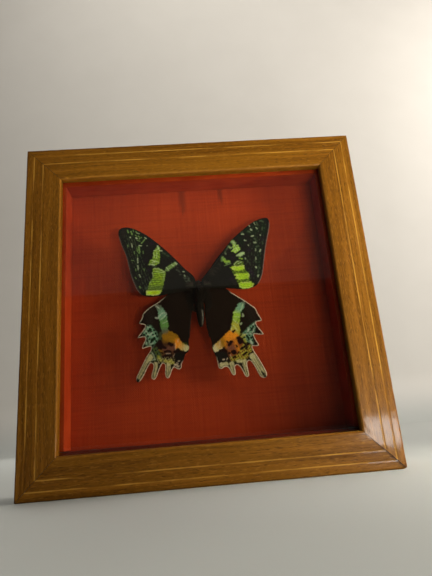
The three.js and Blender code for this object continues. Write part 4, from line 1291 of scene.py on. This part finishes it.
def make_body(skin, hair):
    places, faces = [], []
    parts = ((HEAD_RINGS, 0.2, False), (TORSO_RINGS, 0.3, False), (ABDOMEN_RINGS, 0.14, True))
    for stations, step, segmented in parts:
        rings = body_rings(stations, step, AROUND, segmented)
        start = len(places)
        places += rings.reshape(-1, 3).tolist()
        faces += ring_faces(len(rings), AROUND, start)
        faces += [tuple(range(start, start + AROUND)), tuple(range(len(places) - AROUND, len(places)))]
    for side in (-1, 1):
        palp = [(-0.9 + side * 0.45, 11.6, 11.3), (-0.9 + side * 0.5, 11.2, 11.1)]
        for centre, radii in ((palp[0], (0.22, 0.5, 0.22)), (palp[1], (0.3, 0.6, 0.3))):
            made, made_faces = ball(centre, radii, 8, 12)
            faces += [tuple(i + len(places) for i in f) for f in made_faces]
            places += made
    places = np.array(places)
    make_piece("moth_body_skin", places, faces, skin, "moth_body", "moth_body", sharp=60,
               scales=body_tone(places))

    draw = np.random.default_rng(5)
    blades, blade_faces = [], []

    def add_blade(root, heading, outward, length):
        """One flat hair that narrows to its tip."""
        across = np.cross(heading, outward)
        across *= draw.uniform(0.035, 0.06) / max(np.linalg.norm(across), 1e-6)
        middle = root + heading * length * 0.55 + outward * 0.1
        start = len(blades)
        low = root - outward * 0.1
        blades.extend([low - across, low + across, middle + 0.8 * across, middle - 0.8 * across,
                       root + heading * length])
        blade_faces.extend([(start, start + 1, start + 2, start + 3), (start + 3, start + 2, start + 4)])

    # Stations, number of places tried, shortest and longest hair, and how flat it lies
    coats = [
        (HEAD_RINGS, 1300, (0.4, 0.9), 0.5),
        (TORSO_RINGS, 5200, (0.9, 2.1), 0.7),
        (ABDOMEN_RINGS, 3400, (0.3, 0.7), 0.9),
    ]
    for stations, count, (short, long), lie in coats:
        rings = body_rings(stations, 0.2, 60)
        for _ in range(count):
            ring, turn = draw.integers(1, len(rings) - 1), draw.integers(0, 60)
            root = rings[ring, turn] + draw.uniform(-0.06, 0.06, 3)
            axis = rings[ring].mean(axis=0)
            outward = (root - axis) / np.linalg.norm(root - axis)
            if outward[2] > 0.75:
                continue
            flat = np.array([0.25 * outward[0], -1, 0])
            heading = (1 - lie) * outward + lie * flat + draw.normal(0, 0.14, 3)
            heading /= np.linalg.norm(heading)
            add_blade(root, heading, outward, draw.uniform(short, long))
    front = np.array([0.0, 0.0, -1.0])
    for side, (low, high, depth, long, count) in itertools.product((-1, 1), WING_TUFTS):
        for _ in range(count):
            share = draw.uniform(0, 1)
            root = np.array([-0.7 + side * (2.3 + 3.4 * share ** 1.6), draw.uniform(low, high), depth])
            root[1] += (0.5 * (low + high) - root[1]) * 0.4 * share
            heading = np.array([side * 0.8, draw.normal(-0.25, 0.35), -0.12 + draw.normal(0, 0.08)])
            add_blade(root, heading / np.linalg.norm(heading), front, draw.uniform(0.5, 1) * long)
    for side, margin in INNER_MARGINS:
        for _ in range(700):
            up = draw.uniform(-19, 1)
            root = np.array([np.interp(up, *zip(*margin)) + side * 0.15, up, 11.7])
            heading = np.array([-side * draw.uniform(0.2, 0.8), draw.uniform(-1, -0.4), draw.normal(0, 0.15)])
            add_blade(root, heading / np.linalg.norm(heading), front, draw.uniform(0.4, 1.1))
    blades = np.array(blades)
    tint = np.repeat(draw.uniform(0.6, 1.9, len(blades) // 5), 5)[:, None]
    make_piece("moth_hair", blades, blade_faces, hair, "moth_body", scales=body_tone(blades) * tint)


def make_eyes(material):
    places, faces = [], []
    for side in (-1, 1):
        made, made_faces = ball((-0.9 + side * 1.35, 10.4, 11.7), (0.62, 0.8, 0.75), 14, 20)
        faces += [tuple(i + len(places) for i in f) for f in made_faces]
        places += made
    make_piece("moth_eyes", places, faces, material, "moth_body")


ANTENNAE = {
    "antenna_left": [(-2, 11.6, 10.1), (-4.6, 14.2, 9.5), (-8.8, 18.9, 9.4), (-14.6, 25.6, 9.3)],
    "antenna_right": [(0.2, 11.6, 10.1), (3.6, 14.1, 9.5), (8.3, 19.4, 9.4), (13.8, 26, 9.3)],
}


def make_antenna(name, material):
    """A thin jointed thread that thickens a little before its pointed tip."""
    route = np.array(ANTENNAE[name])
    steps = 140
    shares = np.linspace(0, 1, steps)
    knots = np.linspace(0, 1, len(route))
    curve = np.stack([np.polyval(np.polyfit(knots, route[:, i], 3), shares) for i in range(3)], axis=1)
    places = []
    for share, centre in zip(shares, curve):
        radius = 0.11 + 0.05 * math.sin(math.pi * share) ** 2 + 0.012 * math.sin(2 * math.pi * share * 35)
        radius *= min(1, (1 - share) * 9 + 0.15)
        places += [centre + (radius * math.sin(a) * 0.75, -radius * math.sin(a) * 0.65, -radius * math.cos(a))
                   for a in np.linspace(0, 2 * math.pi, 8, endpoint=False)]
    faces = ring_faces(steps, 8) + [tuple(range(8)), tuple(range((steps - 1) * 8, steps * 8))]
    places = np.array(places)
    make_piece(f"{name}_thread", places, faces, material, "moth_body", name,
               scales=np.tile(tone(24, 18, 12), (len(places), 1)))


def make_pin(material):
    """A fine pin with a small round head."""
    profile = [(0.02, 7.52), (0.3, 7.6), (0.52, 7.82), (0.62, 8.15), (0.55, 8.5), (0.32, 8.75), (0.2, 8.85),
               (0.2, 15), (0.2, 21.4), (0.02, 22.3)]
    around = 20
    places = [(-0.6 + r * math.sin(a), 6.2 + r * math.cos(a), d) for r, d in profile
              for a in np.linspace(0, 2 * math.pi, around, endpoint=False)]
    faces = ring_faces(len(profile), around)
    faces += [tuple(range(around)), tuple(range(len(places) - around, len(places)))]
    make_piece("insect_pin_steel", places, faces, material, "pin_steel", "insect_pin", sharp=50)


# ---- the object ----


def paint_node(name, material, bevel=None):
    """A CAD node keeps its own mesh, with a material and rounded edges."""
    node = nodes[name]
    node.data.materials.clear()
    node.data.materials.append(material)
    if bevel:
        modifier = node.modifiers.new("rounded", "BEVEL")
        modifier.width, modifier.segments, modifier.limit_method = bevel * MM, 3, "ANGLE"


def make_case():
    wood = wood_look()
    names = ("rail_bottom", "rail_left", "rail_top", "rail_right")
    rails = [make_rail(name, turns, wood) for turns, name in enumerate(names)]
    keep_light_on(bpy.data.objects["glint"], rails)
    paint_node("glass_pane", glass_look())
    lining = lining_look()
    for side in ("top", "bottom", "left", "right"):
        paint_node(f"lining_{side}", lining, 0.35)
    paint_node("backing_board", cloth_look(), 0.2)
    paint_node("back_panel", hardboard_look(), 0.25)
    steel = metal_look("zinc", (0.34, 0.35, 0.36), (0.56, 0.57, 0.58), (0.3, 1.0, 3.0))
    brass = metal_look("brass", (0.36, 0.22, 0.07), (0.62, 0.43, 0.16), (0.4, 1.0, 4.0))
    for name in nodes:
        if name.startswith("fixing_tab"):
            paint_node(name, steel, 0.15)
        elif "hanger" in name:
            paint_node(name, brass, 0.12)


def make_moth():
    wings = {kind: wing_look(f"{kind}_scales") for kind in ("forewing", "hindwing")}
    for name in PAINTERS:
        make_wing(name, wings[name.split("_")[0]])
    skin, lacquer = skin_look(), lacquer_look()
    make_body(skin, hair_look())
    make_eyes(lacquer)
    for name in ANTENNAE:
        make_antenna(name, skin)
    make_pin(lacquer)


make_camera()
make_stage()
make_lights()
make_case()
make_moth()
bpy.context.scene.view_settings.view_transform = "Standard"
